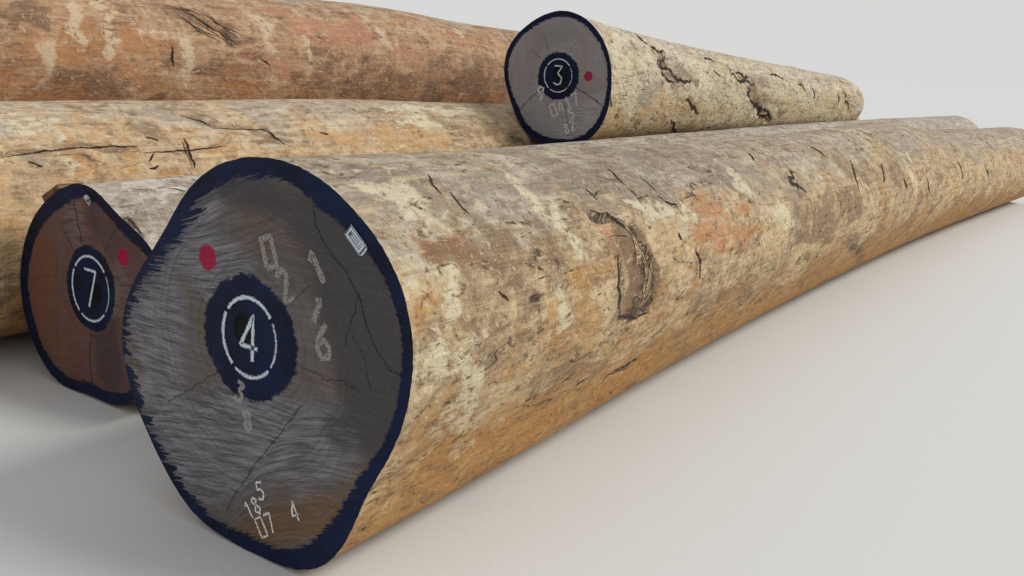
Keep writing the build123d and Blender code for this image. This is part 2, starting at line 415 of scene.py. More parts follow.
class Shade:
    """One material, with short calls for the nodes it is made of."""

    def __init__(self, name, roughness=0.8):
        self.material = bpy.data.materials.new(name)
        self.material.use_nodes = True
        self.nodes = self.material.node_tree.nodes
        self.nodes.clear()
        output = self.nodes.new("ShaderNodeOutputMaterial")
        self.surface = self.nodes.new("ShaderNodeBsdfPrincipled")
        self.join(self.surface.outputs[0], output.inputs["Surface"])
        self.put("Roughness", roughness)

    def join(self, source, socket):
        self.material.node_tree.links.new(source, socket)

    def feed(self, socket, value):
        if isinstance(value, bpy.types.NodeSocket):
            self.join(value, socket)
        elif isinstance(value, tuple) and len(value) != len(socket.default_value):
            socket.default_value = value[: len(socket.default_value)]
        else:
            socket.default_value = value

    def put(self, socket, value):
        """Sets or feeds a socket of the surface itself."""
        self.feed(self.surface.inputs[socket], value)

    def made(self, kind, values=(), **settings):
        """The outputs of a new node whose sockets are fed with values, by their order or by name."""
        node = self.nodes.new("ShaderNode" + kind)
        for setting, choice in settings.items():
            setattr(node, setting, choice)
        by_socket = values if isinstance(values, dict) else dict(enumerate(values))
        for socket, value in by_socket.items():
            self.feed(node.inputs[socket], value)
        return node.outputs

    def attribute(self, name):
        return self.made("Attribute", attribute_name=name)["Fac"]

    def place(self):
        return self.made("TexCoord")["Object"]

    def math(self, operation, *values):
        return self.made("Math", values, operation=operation)[0]

    def plus(self, first, second):
        return self.math("ADD", first, second)

    def minus(self, first, second):
        return self.math("SUBTRACT", first, second)

    def times(self, first, second):
        return self.math("MULTIPLY", first, second)

    def times_plus(self, first, second, third):
        return self.math("MULTIPLY_ADD", first, second, third)

    def larger(self, first, second):
        return self.math("MAXIMUM", first, second)

    def size(self, value):
        return self.math("ABSOLUTE", value)

    def combine(self, x, y, z=0.0):
        return self.made("CombineXYZ", (x, y, z))[0]

    def stretched(self, vector, factors, shift=(0.0, 0.0, 0.0)):
        return self.made("VectorMath", (vector, factors, shift), operation="MULTIPLY_ADD")[0]

    def reach_along(self, vector, centre, direction):
        """How far the places lie from a centre along a direction."""
        away = self.stretched(vector, (1.0, 1.0, 1.0), tuple(-part for part in centre))
        return self.made("VectorMath", (away, direction), operation="DOT_PRODUCT")["Value"]

    def noise(self, vector, scale, detail=3.0, roughness=0.5, distortion=0.0):
        values = {"Vector": vector, "Scale": scale, "Detail": detail}
        return self.made("TexNoise", dict(values, Roughness=roughness, Distortion=distortion))["Fac"]

    def step(self, value, low, high, start=0.0, end=1.0):
        """Start at low, end at high and smooth between them."""
        return self.made("MapRange", (value, low, high, start, end), interpolation_type="SMOOTHSTEP")[0]

    def mix(self, share, first, second):
        return self.made("Mix", {0: share, 6: first, 7: second}, data_type="RGBA")[2]

    def layered(self, colour, fields, tones, layers):
        """A colour with others over it, each where its field goes from low to high, up to a share."""
        for field, low, high, share, over in layers:
            colour = self.mix(self.step(fields[field], low, high, 0.0, share), colour, tones[over])
        return colour

    def swayed(self, value, *sways):
        """A value moved either way by noise fields, each as strongly as its weight."""
        for field, weight in sways:
            value = self.times_plus(self.minus(field, 0.5), weight, value)
        return value

    def relief(self, *parts):
        """Fields added up, each times its weight."""
        height = 0.0
        for field, weight in parts:
            height = self.times_plus(field, weight, height)
        return height

    def distance(self, side, up, centre, reach=(1.0, 1.0)):
        """How far places on a sawn end lie from a centre, in reaches to the side and up."""
        dx = self.times(self.minus(side, centre[0]), 1 / reach[0])
        dy = self.times(self.minus(up, centre[1]), 1 / reach[1])
        return self.math("SQRT", self.plus(self.times(dx, dx), self.times(dy, dy)))

    def finished(self, colour, height, distance, strength=1.0):
        """The material with its colour and its relief."""
        self.put("Base Color", colour)
        values = {"Distance": distance, "Strength": strength, "Height": height}
        self.put("Normal", self.made("Bump", values)[0])
        return self.material


# Noise on a trunk's side: stretch along and across, shift, scale, detail, roughness, distortion.
wood_patterns = {
    "broad": ((1.0, 1.0), (0.0, 0.0), 1.7, 4.0, 0.60, 0.50),
    "blotch": ((1.0, 1.15), (5.0, 0.0), 6.5, 6.0, 0.66, 0.45),
    "fleck": ((0.8, 1.2), (0.0, 0.0), 31.0, 5.0, 0.72, 0.60),
    "smear": ((15.0, 2.2), (0.0, 0.0), 1.0, 6.0, 0.68, 0.70),
    "grain": ((6.0, 95.0), (0.0, 0.0), 1.0, 4.0, 0.65, 0.40),
    "stain": ((3.2, 5.0), (0.0, 9.0), 1.3, 7.0, 0.74, 0.70),
    "ripe": ((1.3, 2.4), (7.0, 3.0), 2.2, 5.0, 0.68, 1.00),
    "mottle": ((1.0, 1.5), (0.0, 4.0), 15.0, 5.0, 0.70, 0.70),
    "streak": ((3.0, 34.0), (2.0, 0.0), 1.0, 5.0, 0.66, 0.50),
    "grit": ((1.0, 1.0), (0.0, 0.0), 120.0, 4.0, 0.75, 0.00),
    "split": ((2.5, 15.0), (0.0, 0.0), 1.0, 1.0, 0.50, 0.00),
}


def broad_side_tones(shade, fields, tones, level, lower, top):
    """The broad tones of a trunk's side: orange below, weathered above, with smears and stains."""
    upper = shade.step(level, top - 0.16, top + 0.16)
    wood = shade.layered(tones["tan"], fields, tones, (
        ("broad", 0.40, 0.60, 1.0, "gold"),
        ("blotch", 0.47, 0.60, 0.75, "light"),
    ))
    wood = shade.mix(shade.times(lower, 0.85), wood, tones["orange"])
    weathered = shade.mix(shade.step(fields["blotch"], 0.36, 0.64, 0.15, 0.85), tones["grey"], tones["pale"])
    weathered = shade.layered(weathered, fields, tones, (("stain", 0.46, 0.58, 0.55, "tan"),))
    wood = shade.layered(shade.mix(upper, wood, weathered), fields, tones, (
        ("smear", 0.53, 0.66, 0.40, "fibre"),
        ("stain", 0.53, 0.61, 0.70, "brown"),
    ))
    ripe = shade.times(shade.step(fields["ripe"], 0.53, 0.64), shade.minus(0.75, upper))
    return shade.layered(shade.mix(shade.larger(ripe, 0.0), wood, tones["orange"]), fields, tones, (
        ("mottle", 0.50, 0.36, 0.50, "brown"),
        ("mottle", 0.52, 0.66, 0.45, "fibre"),
        ("streak", 0.50, 0.66, 0.38, "fibre"),
        ("streak", 0.49, 0.34, 0.36, "brown"),
    ))


def marked_side(shade, fields, tones, wood):
    """The side with the marks placed on it, broken up by noise, and how strong the dark ones are."""
    patchy = shade.times_plus(fields["fleck"], 4.6, shade.times_plus(fields["blotch"], 3.4, -3.0))
    for kind, share in (("orange", 0.75), ("pink", 0.85), ("grey", 0.80), ("pale", 0.85), ("brown", 0.85)):
        field = shade.times(shade.attribute(kind), patchy)
        share = shade.times(shade.step(fields["grit"], 0.30, 0.55, 0.65, 1.0), share)
        colour = tones["mark" if kind == "pale" else kind]
        wood = shade.mix(shade.times(shade.step(field, 0.30, 0.90), share), wood, colour)
    dark = shade.step(shade.times(shade.attribute("dark"), patchy), 0.35, 0.80, 0.0, 0.85)
    return shade.mix(dark, wood, tones["dark"]), dark


def bare_wood(name, tones, seed, top, rough):
    """The weathered side of a trunk without its bark, from patches, smears, flakes and stains."""
    shade = Shade(name)
    flat = shade.combine(shade.attribute("along"), shade.attribute("across"), 3.7 * seed)
    fields = {
        pattern: shade.noise(shade.stretched(flat, (*stretch, 1.0), (*shift, 0.0)), *sizes)
        for pattern, (stretch, shift, *sizes) in wood_patterns.items()
    }
    broad, blotch, fleck = (fields[pattern] for pattern in ("broad", "blotch", "fleck"))
    ragged = shade.minus(shade.times_plus(blotch, 0.9, shade.times(fleck, 0.5)), 0.70)
    level = shade.times_plus(ragged, 1.3, shade.attribute("high"))
    level = shade.plus(level, shade.times_plus(broad, 1.9, -0.95))
    lower = shade.step(level, 0.0, -0.65)
    tones = dict(tones, fibre=shade.mix(lower, tones["cream"], tones["honey"]))

    wood = broad_side_tones(shade, fields, tones, level, lower, top)
    wood, dark = marked_side(shade, fields, tones, wood)
    wood = shade.layered(wood, fields, tones, (
        ("grain", 0.46, 0.30, 0.36 * rough, "shade"),
        ("grain", 0.54, 0.68, 0.26, "fibre"),
        ("fleck", 0.45, 0.34, 0.85 * rough, "shade"),
        ("fleck", 0.57, 0.64, 0.60, "fibre"),
        ("grit", 0.44, 0.30, 0.40 * rough, "shade"),
        ("grit", 0.58, 0.70, 0.30, "fibre"),
    ))
    splits = shade.step(shade.size(shade.minus(fields["split"], 0.5)), 0.0, 0.014, 1.0, 0.0)
    splits = shade.times(splits, shade.step(fields["stain"], 0.51, 0.58))
    splits = shade.times(splits, shade.step(fleck, 0.53, 0.47, 0.0, rough))
    wood = shade.mix(shade.times(splits, 0.85), wood, tones["crack"])
    shade.put("Roughness", shade.step(blotch, 0.3, 0.7, 0.66, 0.92))
    height = shade.relief((fields["grain"], 0.22), (fleck, 0.65), (fields["grit"], 0.20),
                          (shade.step(blotch, 0.36, 0.64), 0.45), (splits, -0.5), (dark, -0.5))
    return shade.finished(wood, height, 0.017 * rough)


def radial_cracks(shade, side, up, centre, from_pith, wander, cracks):
    """1 on cracks that run out from the middle, each with its own direction, reach and width."""
    turn = shade.math("ARCTAN2", shade.minus(up, centre[1]), shade.minus(side, centre[0]))
    bend = shade.swayed(turn, (wander, 0.30))
    crack = 0.0
    for direction, start, end, width in cracks:
        off = shade.math("WRAP", shade.minus(bend, math.radians(direction)), math.pi, -math.pi)
        off = shade.times(shade.size(off), from_pith)
        inside = shade.times(shade.step(from_pith, start, start + 0.03),
                             shade.step(from_pith, end, end - 0.10))
        crack = shade.larger(crack, shade.times(shade.step(off, width, width * 0.3), inside))
    return crack


def saw_strokes(shade, sway, run, per_metre, shift):
    """Fine lines left by the saw, fanned out where the face has its fan."""
    def lines_across(field):
        place = shade.times(shade.plus(sway, shade.attribute(field)), per_metre)
        return shade.noise(shade.combine(place, run, shift), 1.0, 3.0, 0.6, 0.2)

    level = lines_across("stroke_level")
    fanned = shade.minus(lines_across("fan_level"), level)
    return shade.times_plus(fanned, shade.attribute("fan_share"), level)


def bare_face(shade, tones, fields):
    """The wood of a sawn near end, with worn, deep and warm zones and saw strokes."""
    ragged = shade.times_plus(fields["broad"], 0.7, shade.times(fields["wander"], 0.4))
    ragged = shade.minus(ragged, 0.55)
    wood = shade.layered(tones["base"], fields, tones, (
        ("broad", 0.38, 0.62, 1.0, "brown"),
        ("flame", 0.51, 0.62, tones["flame_share"], "flame"),
        ("flame", 0.47, 0.36, tones["flame_share"], "ash"),
    ))
    zones = (("worn", 0.9, 0.10, 0.85), ("deep", 0.9, 0.20, 0.80), ("warm", 1.1, 0.15, 0.85))
    worn, deep, warm = (
        shade.step(shade.times_plus(ragged, spread, shade.attribute(kind)), low, high)
        for kind, spread, low, high in zones
    )
    for share, over in ((worn, "worn"), (deep, "deep"), (shade.times(warm, 0.8), "warm")):
        wood = shade.mix(share, wood, tones[over])
    lit = shade.times(shade.times_plus(worn, 0.46, 0.14), shade.times_plus(deep, -0.75, 1.0))
    lines = (("strokes", 0.63, "stroke"), ("strokes", 0.38, "shade"), ("fine", 0.66, "stroke"))
    for field, high, over in lines:
        wood = shade.mix(shade.times(shade.step(fields[field], 0.50, high), lit), wood, tones[over])
    wood = shade.mix(shade.step(fields["rings"], 0.34, 0.62, 0.28, 0.0), wood, tones["shade"])
    return shade.layered(wood, fields, tones, (("pore", 0.52, 0.74, 0.30, "shade"),))


def painted_share(shade, side, up, fields, band, disc):
    """1 on the painted rim and disc. The paint reaches in between the saw strokes, so its edge is combed."""
    strokes, rough, wander = (fields[field] for field in ("strokes", "rough", "wander"))
    comb = shade.swayed(0.0, (strokes, shade.attribute("comb")), (rough, band["fray"]),
                        (wander, band["sway"]))
    edge = shade.minus(shade.minus(shade.attribute("rim"), shade.attribute("band")), comb)
    off_disc = shade.distance(side, up, disc["centre"], disc["reach"])
    off_disc = shade.swayed(off_disc, (rough, 0.22), (strokes, 0.10), (wander, 0.22))
    return shade.larger(shade.step(edge, 0.004, -0.004), shade.step(off_disc, 1.025, 0.975))


def sawn_face(name, tones, seed, band, disc, dot, cracks):
    """A sawn near end with its painted rim, disc and dot."""
    shade = Shade(name)
    shade.put("Specular IOR Level", 0.12)
    side, up = shade.attribute("side"), shade.attribute("up")
    flat = shade.combine(side, up, 2.9 * seed)
    wander = shade.noise(flat, 8.0, 4.0, 0.6)
    rough = shade.noise(flat, 70.0, 5.0, 0.72)
    from_pith = shade.distance(side, up, disc["centre"])
    ring_place = shade.times(shade.times_plus(wander, 0.07, from_pith), 85.0)
    sway = shade.times(shade.noise(flat, 22.0, 2.0, 0.5), 0.012)
    run = shade.times(shade.attribute("stroke_run"), 9.0)
    fields = {
        "wander": wander,
        "rough": rough,
        "broad": shade.noise(flat, 3.2, 4.0, 0.6, 0.8),
        "pore": shade.noise(flat, 300.0, 3.0, 0.7),
        "flame": shade.noise(shade.stretched(flat, (14.0, 2.6, 1.0)), 1.0, 4.0, 0.62, 0.6),
        "rings": shade.noise(shade.combine(ring_place, 2.0 * seed), 1.0, 2.0, 0.6),
        "strokes": saw_strokes(shade, sway, run, 135.0, 1.7 * seed),
        "fine": saw_strokes(shade, sway, run, 300.0, 4.1 * seed),
    }
    crack = radial_cracks(shade, side, up, disc["centre"], from_pith, wander, cracks)
    wood = shade.mix(shade.times(crack, 0.85), bare_face(shade, tones, fields), tones["crack"])

    painted = painted_share(shade, side, up, fields, band, disc)
    coat = shade.mix(shade.step(wander, 0.35, 0.65), tones["navy"], tones["blue"])
    coat = shade.layered(coat, fields, tones, (("fine", 0.45, 0.75, 0.35, "sheen"),))
    wood = shade.mix(shade.times(painted, shade.step(rough, 0.62, 0.78, 1.0, 0.55)), wood, coat)
    # The pith hole is painted near black: painted shade inside the hole.
    hole = shade.step(shade.distance(side, up, disc["pith"], (0.034, 0.038)), 1.15, 0.75)
    off_dot = shade.distance(side, up, dot["centre"], (dot["reach"], dot["reach"]))
    dotted = shade.step(shade.swayed(off_dot, (rough, 0.5)), 1.08, 0.94)
    wood = shade.mix(shade.times(dotted, 0.92), shade.mix(hole, wood, tones["hole"]), tones["dot"])
    shade.put("Roughness", shade.step(painted, 0.0, 1.0, 0.85, 0.55))
    height = shade.relief((fields["strokes"], 0.55), (fields["fine"], 0.2), (fields["rings"], 0.15),
                          (rough, 0.25), (crack, -1.2), (hole, -1.5))
    return shade.finished(wood, height, 0.005)


def plain_sawn_end(name, seed):
    """An unpainted sawn end with sapwood, darker heartwood, rings, saw marks, grime and drying cracks."""
    shade = Shade(name, 0.88)
    side, up, rim = (shade.attribute(field) for field in ("side", "up", "rim"))
    flat = shade.combine(side, up, 0.37 * seed)
    middle = (0.0, 0.0)
    from_pith = shade.distance(side, up, middle)
    wander = shade.noise(flat, 5.0, 4.0, 0.6)
    ring_place = shade.times_plus(wander, 0.10, from_pith)
    fields = {
        "rim": rim,
        "inside": shade.swayed(rim, (wander, 0.08)),
        "blotch": shade.noise(flat, 9.0, 5.0, 0.68, 0.6),
        "grime": shade.noise(flat, 60.0, 4.0, 0.7),
        "rings": shade.noise(shade.combine(shade.times(ring_place, 80.0), 0.29 * seed), 1.0, 2.0),
        "bands": shade.noise(shade.combine(shade.times(ring_place, 19.0), 0.53 * seed), 1.0, 2.0),
        "saw": shade.noise(shade.stretched(flat, (120.0, 5.0, 1.0)), 1.0, 3.0, 0.6, 0.3),
    }
    wood = shade.layered(end_tones["sapwood"], fields, end_tones, (
        ("inside", 0.050, 0.085, 1.0, "heartwood"),
        ("bands", 0.42, 0.62, 0.45, "band"),
        ("rings", 0.44, 0.66, 0.40, "ring"),
        ("saw", 0.50, 0.68, 0.40, "sawn"),
        ("blotch", 0.50, 0.62, 0.60, "grey"),
        ("grime", 0.54, 0.70, 0.45, "grime"),
    ))
    # Each seed turns the cracks by its own angle and shortens them by up to a third.
    turned, shortened = 31 * seed, 1 - 0.08 * (seed % 5)
    cracks = [(direction + turned, start, end * shortened, width)
              for direction, start, end, width in far_end_cracks]
    crack = radial_cracks(shade, side, up, middle, from_pith, wander, cracks)
    wood = shade.mix(shade.times(crack, 0.9), wood, end_tones["crack"])
    wood = shade.layered(wood, fields, end_tones, (("rim", 0.012, 0.0, 0.6, "edge"),))
    height = shade.relief((fields["rings"], 0.6), (fields["saw"], 0.6), (fields["grime"], 0.3),
                          (crack, -1.5))
    return shade.finished(wood, height, 0.004)


def brushed_paint(name, tones, thinning, opacity):
    """Paint, chalk or a drawn line, thin in places and toward its edges."""
    shade = Shade(name)
    shade.put("Specular IOR Level", 0.2)
    flat = shade.combine(shade.attribute("side"), shade.attribute("up"))
    grain = shade.noise(flat, 240.0, 4.0, 0.7)
    cover = shade.plus(grain, shade.times(shade.size(shade.attribute("edge")), -thinning))
    cover = shade.plus(cover, shade.attribute("load"))
    shade.put("Alpha", shade.step(cover, 0.40, 0.52, 0.0, opacity))
    return shade.finished(shade.mix(shade.step(grain, 0.4, 0.6), *tones), grain, 0.001)


def split_wood(name, light_tone, dark_tone):
    """Torn fibres, pale or dark, with lines along them."""
    shade = Shade(name, 0.9)
    grain = shade.noise(shade.stretched(shade.place(), (14.0, 130.0, 130.0)), 1.0, 4.0, 0.65)
    patch = shade.noise(shade.place(), 24.0, 3.0, 0.6)
    wood = shade.mix(shade.step(grain, 0.38, 0.62), dark_tone, light_tone)
    wood = shade.mix(shade.step(patch, 0.45, 0.70, 0.0, 0.5), wood, dark_tone)
    return shade.finished(wood, grain, 0.002)


def crack_shadow(name):
    """The dark inside of a split, browner toward its edges."""
    shade = Shade(name, 0.95)
    grain = shade.noise(shade.place(), 110.0, 4.0, 0.7)
    deep = shade.mix(shade.step(grain, 0.35, 0.7), tone(22, 14, 10), tone(58, 40, 28))
    wood = shade.mix(shade.step(shade.attribute("edge"), 0.4, 1.0, 0.0, 0.7), deep, tone(84, 60, 42))
    return shade.finished(wood, grain, 0.003)


# Trunk pieces

def edge_offset(form, angle):
    """How far the worn rim of the sawn end lies inside the solid's outline."""
    circle = np.stack([np.cos(angle), np.sin(angle), 0 * angle + form.near_x], -1)
    return edge_wear * (0.35 * layered_noise(circle * 9, 3, 5) + 0.65 * layered_noise(circle * 40, 3, 9))


def seeded_line(form, chance, shortest, longest):
    """A short bent line at a chance place on the sides of a trunk that the photograph doesn't show."""
    along = chance.uniform(0.3, form.length - 0.3)
    across = math.radians(chance.uniform(*unseen_arc)) * form.mean_radius
    lean = math.radians(chance.choice([0, 75]) + chance.normal(0, 20))
    way = np.array([math.cos(lean), math.sin(lean)])
    size = chance.uniform(shortest, longest)
    return [
        tuple(np.array([along, across]) + way * size * (share - 0.5) + chance.normal(0, 0.008, 2))
        for share in (0, 0.33, 0.66, 1)
    ]


def scattered_marks(form, seed):
    """Smears, stains and dents on the sides of a trunk that the photograph doesn't show."""
    chance = np.random.default_rng(seed)
    kinds = ("pale", "pale", "brown", "brown", "grey", "orange", "dark", "dent")
    marks = []
    for number in range(unseen_marks):
        kind = kinds[number % len(kinds)]
        line = seeded_line(form, chance, 0.10, 0.50)
        strength = chance.uniform(0.5, 1.0) * (0.010 if kind == "dent" else 1)
        half_width = chance.uniform(0.03, 0.09) * (0.3 if kind == "dark" else 1)
        marks.append((kind, half_width, strength, line))
    return marks


def scattered_splits(form, seed):
    """Short splits on the sides of a trunk that the photograph doesn't show."""
    chance = np.random.default_rng(seed)
    lines = [seeded_line(form, chance, 0.06, 0.26) for _ in range(unseen_splits)]
    return [(chance.uniform(0.003, 0.007), line) for line in lines]


def listed(marks, place_line):
    """The marks of a table as a list, with their lines of pixels put in place."""
    return [(kind, half_width, strength, place_line(pixels))
            for kind, entries in marks.items() for half_width, strength, pixels in entries]


def mark_fields(along, across, marks):
    """How strongly each kind of mark shows at each place, and how deep the surface is dented."""
    fields = {kind: np.zeros(along.shape) for kind in ("orange", "pink", "grey", "pale", "brown", "dark")}
    dents = np.zeros(along.shape)
    cells = np.stack([along * 11, across * 15, 0 * along], -1)
    sway_along, sway_across = (layered_noise(cells, 3, seed) - 0.5 for seed in (83, 89))
    for kind, half_width, strength, line in marks:
        if len(line) < 2:
            continue
        sway = mark_sway * half_width
        away = near_line(along + sway * sway_along, across + sway * sway_across, line) / half_width
        if kind == "dent":
            dents = np.maximum(dents, strength * soft_step(away, 1.5, 0.0))
        else:
            fields[kind] = np.maximum(fields[kind], strength * soft_step(away, 2.1, 0.1))
    return fields, dents


def trunk_skin(form, name, material, fine_arc, seed, marks):
    """The outside of a trunk with its hollows and ridges, all inside the solid's surface."""
    along_places = spaced_along(form.length)
    angles = spaced_around(*fine_arc)
    along, angle = np.meshgrid(along_places, angles, indexing="ij")
    radius = form.mean_radius
    y, z = -radius * np.cos(angle), radius * np.sin(angle)
    hollows = layered_noise(np.stack([along * 1.6, y * 4.5, z * 4.5], -1), 4, seed)
    ridges = layered_noise(np.stack([along * 9, y * 22, z * 22], -1), 3, seed + 7)
    fields, dents = mark_fields(along, angle * radius, marks)
    lift = -skin_clearance - hollow_depth * hollows - ridge_depth * ridges - dents
    near_edge = edge_offset(form, angle) * soft_step(along, 0.05, 0.0)
    points = form.point(along, angle, lift * soft_step(along, 0.0, 0.03) - near_edge)
    points[..., 2] = np.maximum(points[..., 2], lowest_point)
    points[0, :, 0] = form.near_x + face_setback
    faces = grid_faces(len(along_places), len(angles))
    piece = wood_piece(name, points.reshape(-1, 3), faces, material, along=along, across=angle * radius,
                       high=np.sin(angle), **fields)
    return piece, points[0], points[-1]


def end_disc(name, rim_points, centre, material, outward, rings):
    """A sawn end spanned by a rim of points, with a slightly uneven surface."""
    shares = np.concatenate([np.linspace(0.0, 0.86, rings[0]), np.linspace(0.868, 1.0, rings[1])])
    middle = np.array([rim_points[:, 0].mean(), *centre])
    spokes = rim_points - middle
    points = middle + shares[:, None, None] * spokes
    reach = np.hypot(spokes[:, 1], spokes[:, 2])
    rim = reach * (1 - shares[:, None])
    uneven = layered_noise(points * 11, 3, 21) * face_relief * soft_step(rim, 0.0, 0.02)
    points[..., 0] = middle[0] - outward * uneven
    side, up = points[..., 1] - centre[0], points[..., 2] - centre[1]
    faces = grid_faces(len(shares), len(spokes))
    piece = wood_piece(name, points.reshape(-1, 3), faces, material, side=side, up=up, rim=rim)
    if outward > 0:
        piece.data.flip_normals()
    return piece, side, up


def blade_flow(side, up):
    """Fields of the front face: across its saw strokes, across their fan, where it is and along them."""
    right = -side
    level = up - 0.5 * np.minimum(right, 0.1) * soft_step(up, 0.05, 0.35)
    level = level - 0.2 * right * soft_step(up, -0.05, -0.30)
    apex_side, apex_up = place_on_face(front, fan_apex_px)
    edge_side, edge_up = place_on_face(front, fan_edge_px)
    along, rise = right + apex_side, up - apex_up
    bend = 0.20
    steep = (edge_up - apex_up) / (apex_side - edge_side)
    fan_level = rise - steep * bend * (1 - np.exp(-np.maximum(along, 0) / bend))
    fan_share = soft_step(along * steep - rise, 0.0, 0.006) * soft_step(up, edge_up + 0.03, edge_up - 0.03)
    return level, fan_level, fan_share, right


def plain_flow(side, up):
    """Level saw strokes with a slight slope and no fan."""
    level = up + 0.12 * side
    return level, level, 0 * side, side


def face_fields(form, piece, side, up, zones, flow, widths):
    """Stores where a sawn face is worn, deep or warm, how its strokes run and how wide its rim band is."""
    fields = {"worn": 0 * side, "deep": 0 * side, "warm": 0 * side}
    for kind, half_width, strength, line in listed(zones, lambda pixels: face_places(form, pixels)):
        away = near_line(side, up, line) / half_width
        fields[kind] = np.maximum(fields[kind], strength * soft_step(away, 1.9, 0.3))
    fields.update(zip(("stroke_level", "fan_level", "fan_share", "stroke_run"), flow(side, up)))
    turn = np.degrees(np.arctan2(up, -side)) % 360
    directions, *sizes = zip(*widths)
    for field, values in zip(("band", "comb"), sizes):
        fields[field] = np.interp(turn, directions, values, period=360)
    add_fields(piece, **fields)


def face_places(form, pixels):
    """Where a line of pixels meets the plane of a near face."""
    return [place_on_face(form, pixel) for pixel in pixels]


def skin_point(form, tree, along, angle):
    """The point of a finished skin at a place on its trunk, and the way out of it there."""
    along = min(max(along, 0.002), form.length - 0.002)
    outward = Vector((0, -math.cos(angle), math.sin(angle)))
    start = Vector((form.near_x + along, *form.middle(along))) + outward * ray_reach
    hit = tree.ray_cast(start, -outward)
    return (hit[0], outward) if hit[0] is not None else (start - outward * ray_reach, outward)


def split_ribbons(form, skin, name, splits, material):
    """Dark ragged splits that lie on a trunk's skin. Each is a half width and its line on the trunk."""
    tree = BVHTree.FromObject(skin, bpy.context.evaluated_depsgraph_get())
    points, faces, edges = [], [], []
    for number, (half_width, line) in enumerate(splits):
        if len(line) < 2:
            continue
        half_width = half_width * split_opening
        path = even_line(line, split_spacing, 12, 160)
        count = len(path)
        seeded = np.stack([path[:, 0] * 28, path[:, 1] * 28, np.full(count, number * 7.3)], -1)
        for axis, seed in enumerate((31, 57)):
            path[:, axis] += (layered_noise(seeded, 3, seed) - 0.5) * half_width * 4
        taper = np.sin(math.pi * np.linspace(0, 1, count)) ** 0.6
        square = square_to(path)
        faces += strip_faces(len(points), 3, count)
        for row, sign in enumerate((-1, 0, 1)):
            ragged = layered_noise(seeded * 4 + 40 * row, 3, 77) * 1.9
            offset = square * (half_width * taper * ragged * sign)[:, None]
            for along, across in path + offset:
                point, normal = skin_point(form, tree, along, across / form.mean_radius)
                points.append(tuple(point + normal * split_proud))
                edges.append(abs(sign))
    return wood_piece(name, points, faces, material, edge=edges)


def fibre_slivers(form, skin, name, zones, material):
    """Loose slivers of wood fibre that stand a little off the skin along lines of pixels."""
    tree = BVHTree.FromObject(skin, bpy.context.evaluated_depsgraph_get())
    points, faces = [], []
    for seed, (count, length, spread, lean, pixels) in enumerate(zones):
        line = np.array(line_on_trunk(form, pixels))
        travelled = travel(line)
        chance = np.random.default_rng(900 + seed)
        for _ in range(count):
            middle = points_at(line, travelled, chance.uniform(0, travelled[-1]))
            middle = middle + chance.normal(0, spread, 2)
            turn = math.radians(lean + chance.normal(0, 16))
            way = np.array([math.cos(turn), math.sin(turn)])
            size = length * chance.uniform(0.4, 1.2)
            width = size * chance.uniform(0.035, 0.09)
            stand = size * chance.uniform(0.02, 0.10)
            faces += strip_faces(len(points), 7, 2)
            for share in np.linspace(0, 1, 7):
                for sign in (-1, 1):
                    flat = middle + way * size * (share - 0.5)
                    flat += np.array([-way[1], way[0]]) * width * sign * (1 - share * 0.8)
                    point, normal = skin_point(form, tree, flat[0], flat[1] / form.mean_radius)
                    points.append(tuple(point + normal * (sliver_proud + stand * share ** 2)))
    return wood_piece(name, points, faces, material)


def dress_log(log, side, face_wood, fine_arc, seed, marks, splits, zones, flow, widths):
    """Skin, splits and both ends of a trunk, in place of its plain solid."""
    node = log + "_log"
    form = forms[node]
    wood = bare_wood(log + "_wood", *side)
    placed = listed(marks, lambda pixels: line_on_trunk(form, pixels)) + scattered_marks(form, 500 + seed)
    skin, near_rim, far_rim = trunk_skin(form, node + "_skin", wood, fine_arc, seed, placed)
    near = end_disc(node + "_near_face", near_rim, form.near_centre, face_wood, -1, near_rings)
    face_fields(form, *near, zones, flow, widths)
    far_wood = plain_sawn_end(node + "_far_wood", seed)
    far = end_disc(node + "_far_end", far_rim, form.far_centre, far_wood, 1, far_rings)[0]
    lines = [(half_width, line_on_trunk(form, pixels)) for half_width, pixels in splits]
    lines += scattered_splits(form, 700 + seed)
    for piece in (skin, near[0], far, split_ribbons(form, skin, node + "_splits", lines, crack_dark)):
        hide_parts(node)
    return skin


# Strokes on the near faces

# Lines of plain numerals on a grid two wide and four high.
numeral_lines = {
    "0": [(0, 0), (2, 0), (2, 4), (0, 4), (0, 0)],
    "1": [(0.4, 3.2), (1.2, 4), (1.2, 0)],
    "2": [(0, 3.4), (0.6, 4), (1.6, 4), (2, 3.2), (0, 0), (2, 0)],
    "3": [(0, 4), (1.9, 4), (0.9, 2.4), (2, 1.6), (1.8, 0.4), (0.9, 0), (0, 0.5)],
    "4": [(1.5, 0), (1.5, 4), (0, 1.2), (2.1, 1.2)],
    "5": [(2, 4), (0.2, 4), (0.1, 2.3), (1.4, 2.4), (2, 1.4), (1.4, 0.1), (0, 0.2)],
    "6": [(1.8, 4), (0.5, 2.6), (0, 1.2), (0.6, 0), (1.7, 0.1), (2, 1.3), (1.2, 2.2), (0.2, 1.6)],
    "7": [(0, 4), (2, 4), (0.8, 0)],
    "8": [(1, 2.2), (0.1, 3.2), (1, 4), (1.9, 3.2), (1, 2.2), (0, 1), (1, 0), (2, 1), (1, 2.2)],
    "9": [(1.8, 2.4), (0.6, 2), (0.1, 3), (0.8, 4), (1.8, 3.6), (1.8, 2.4), (1.2, 0)],
}
numeral_pitch = 3.0


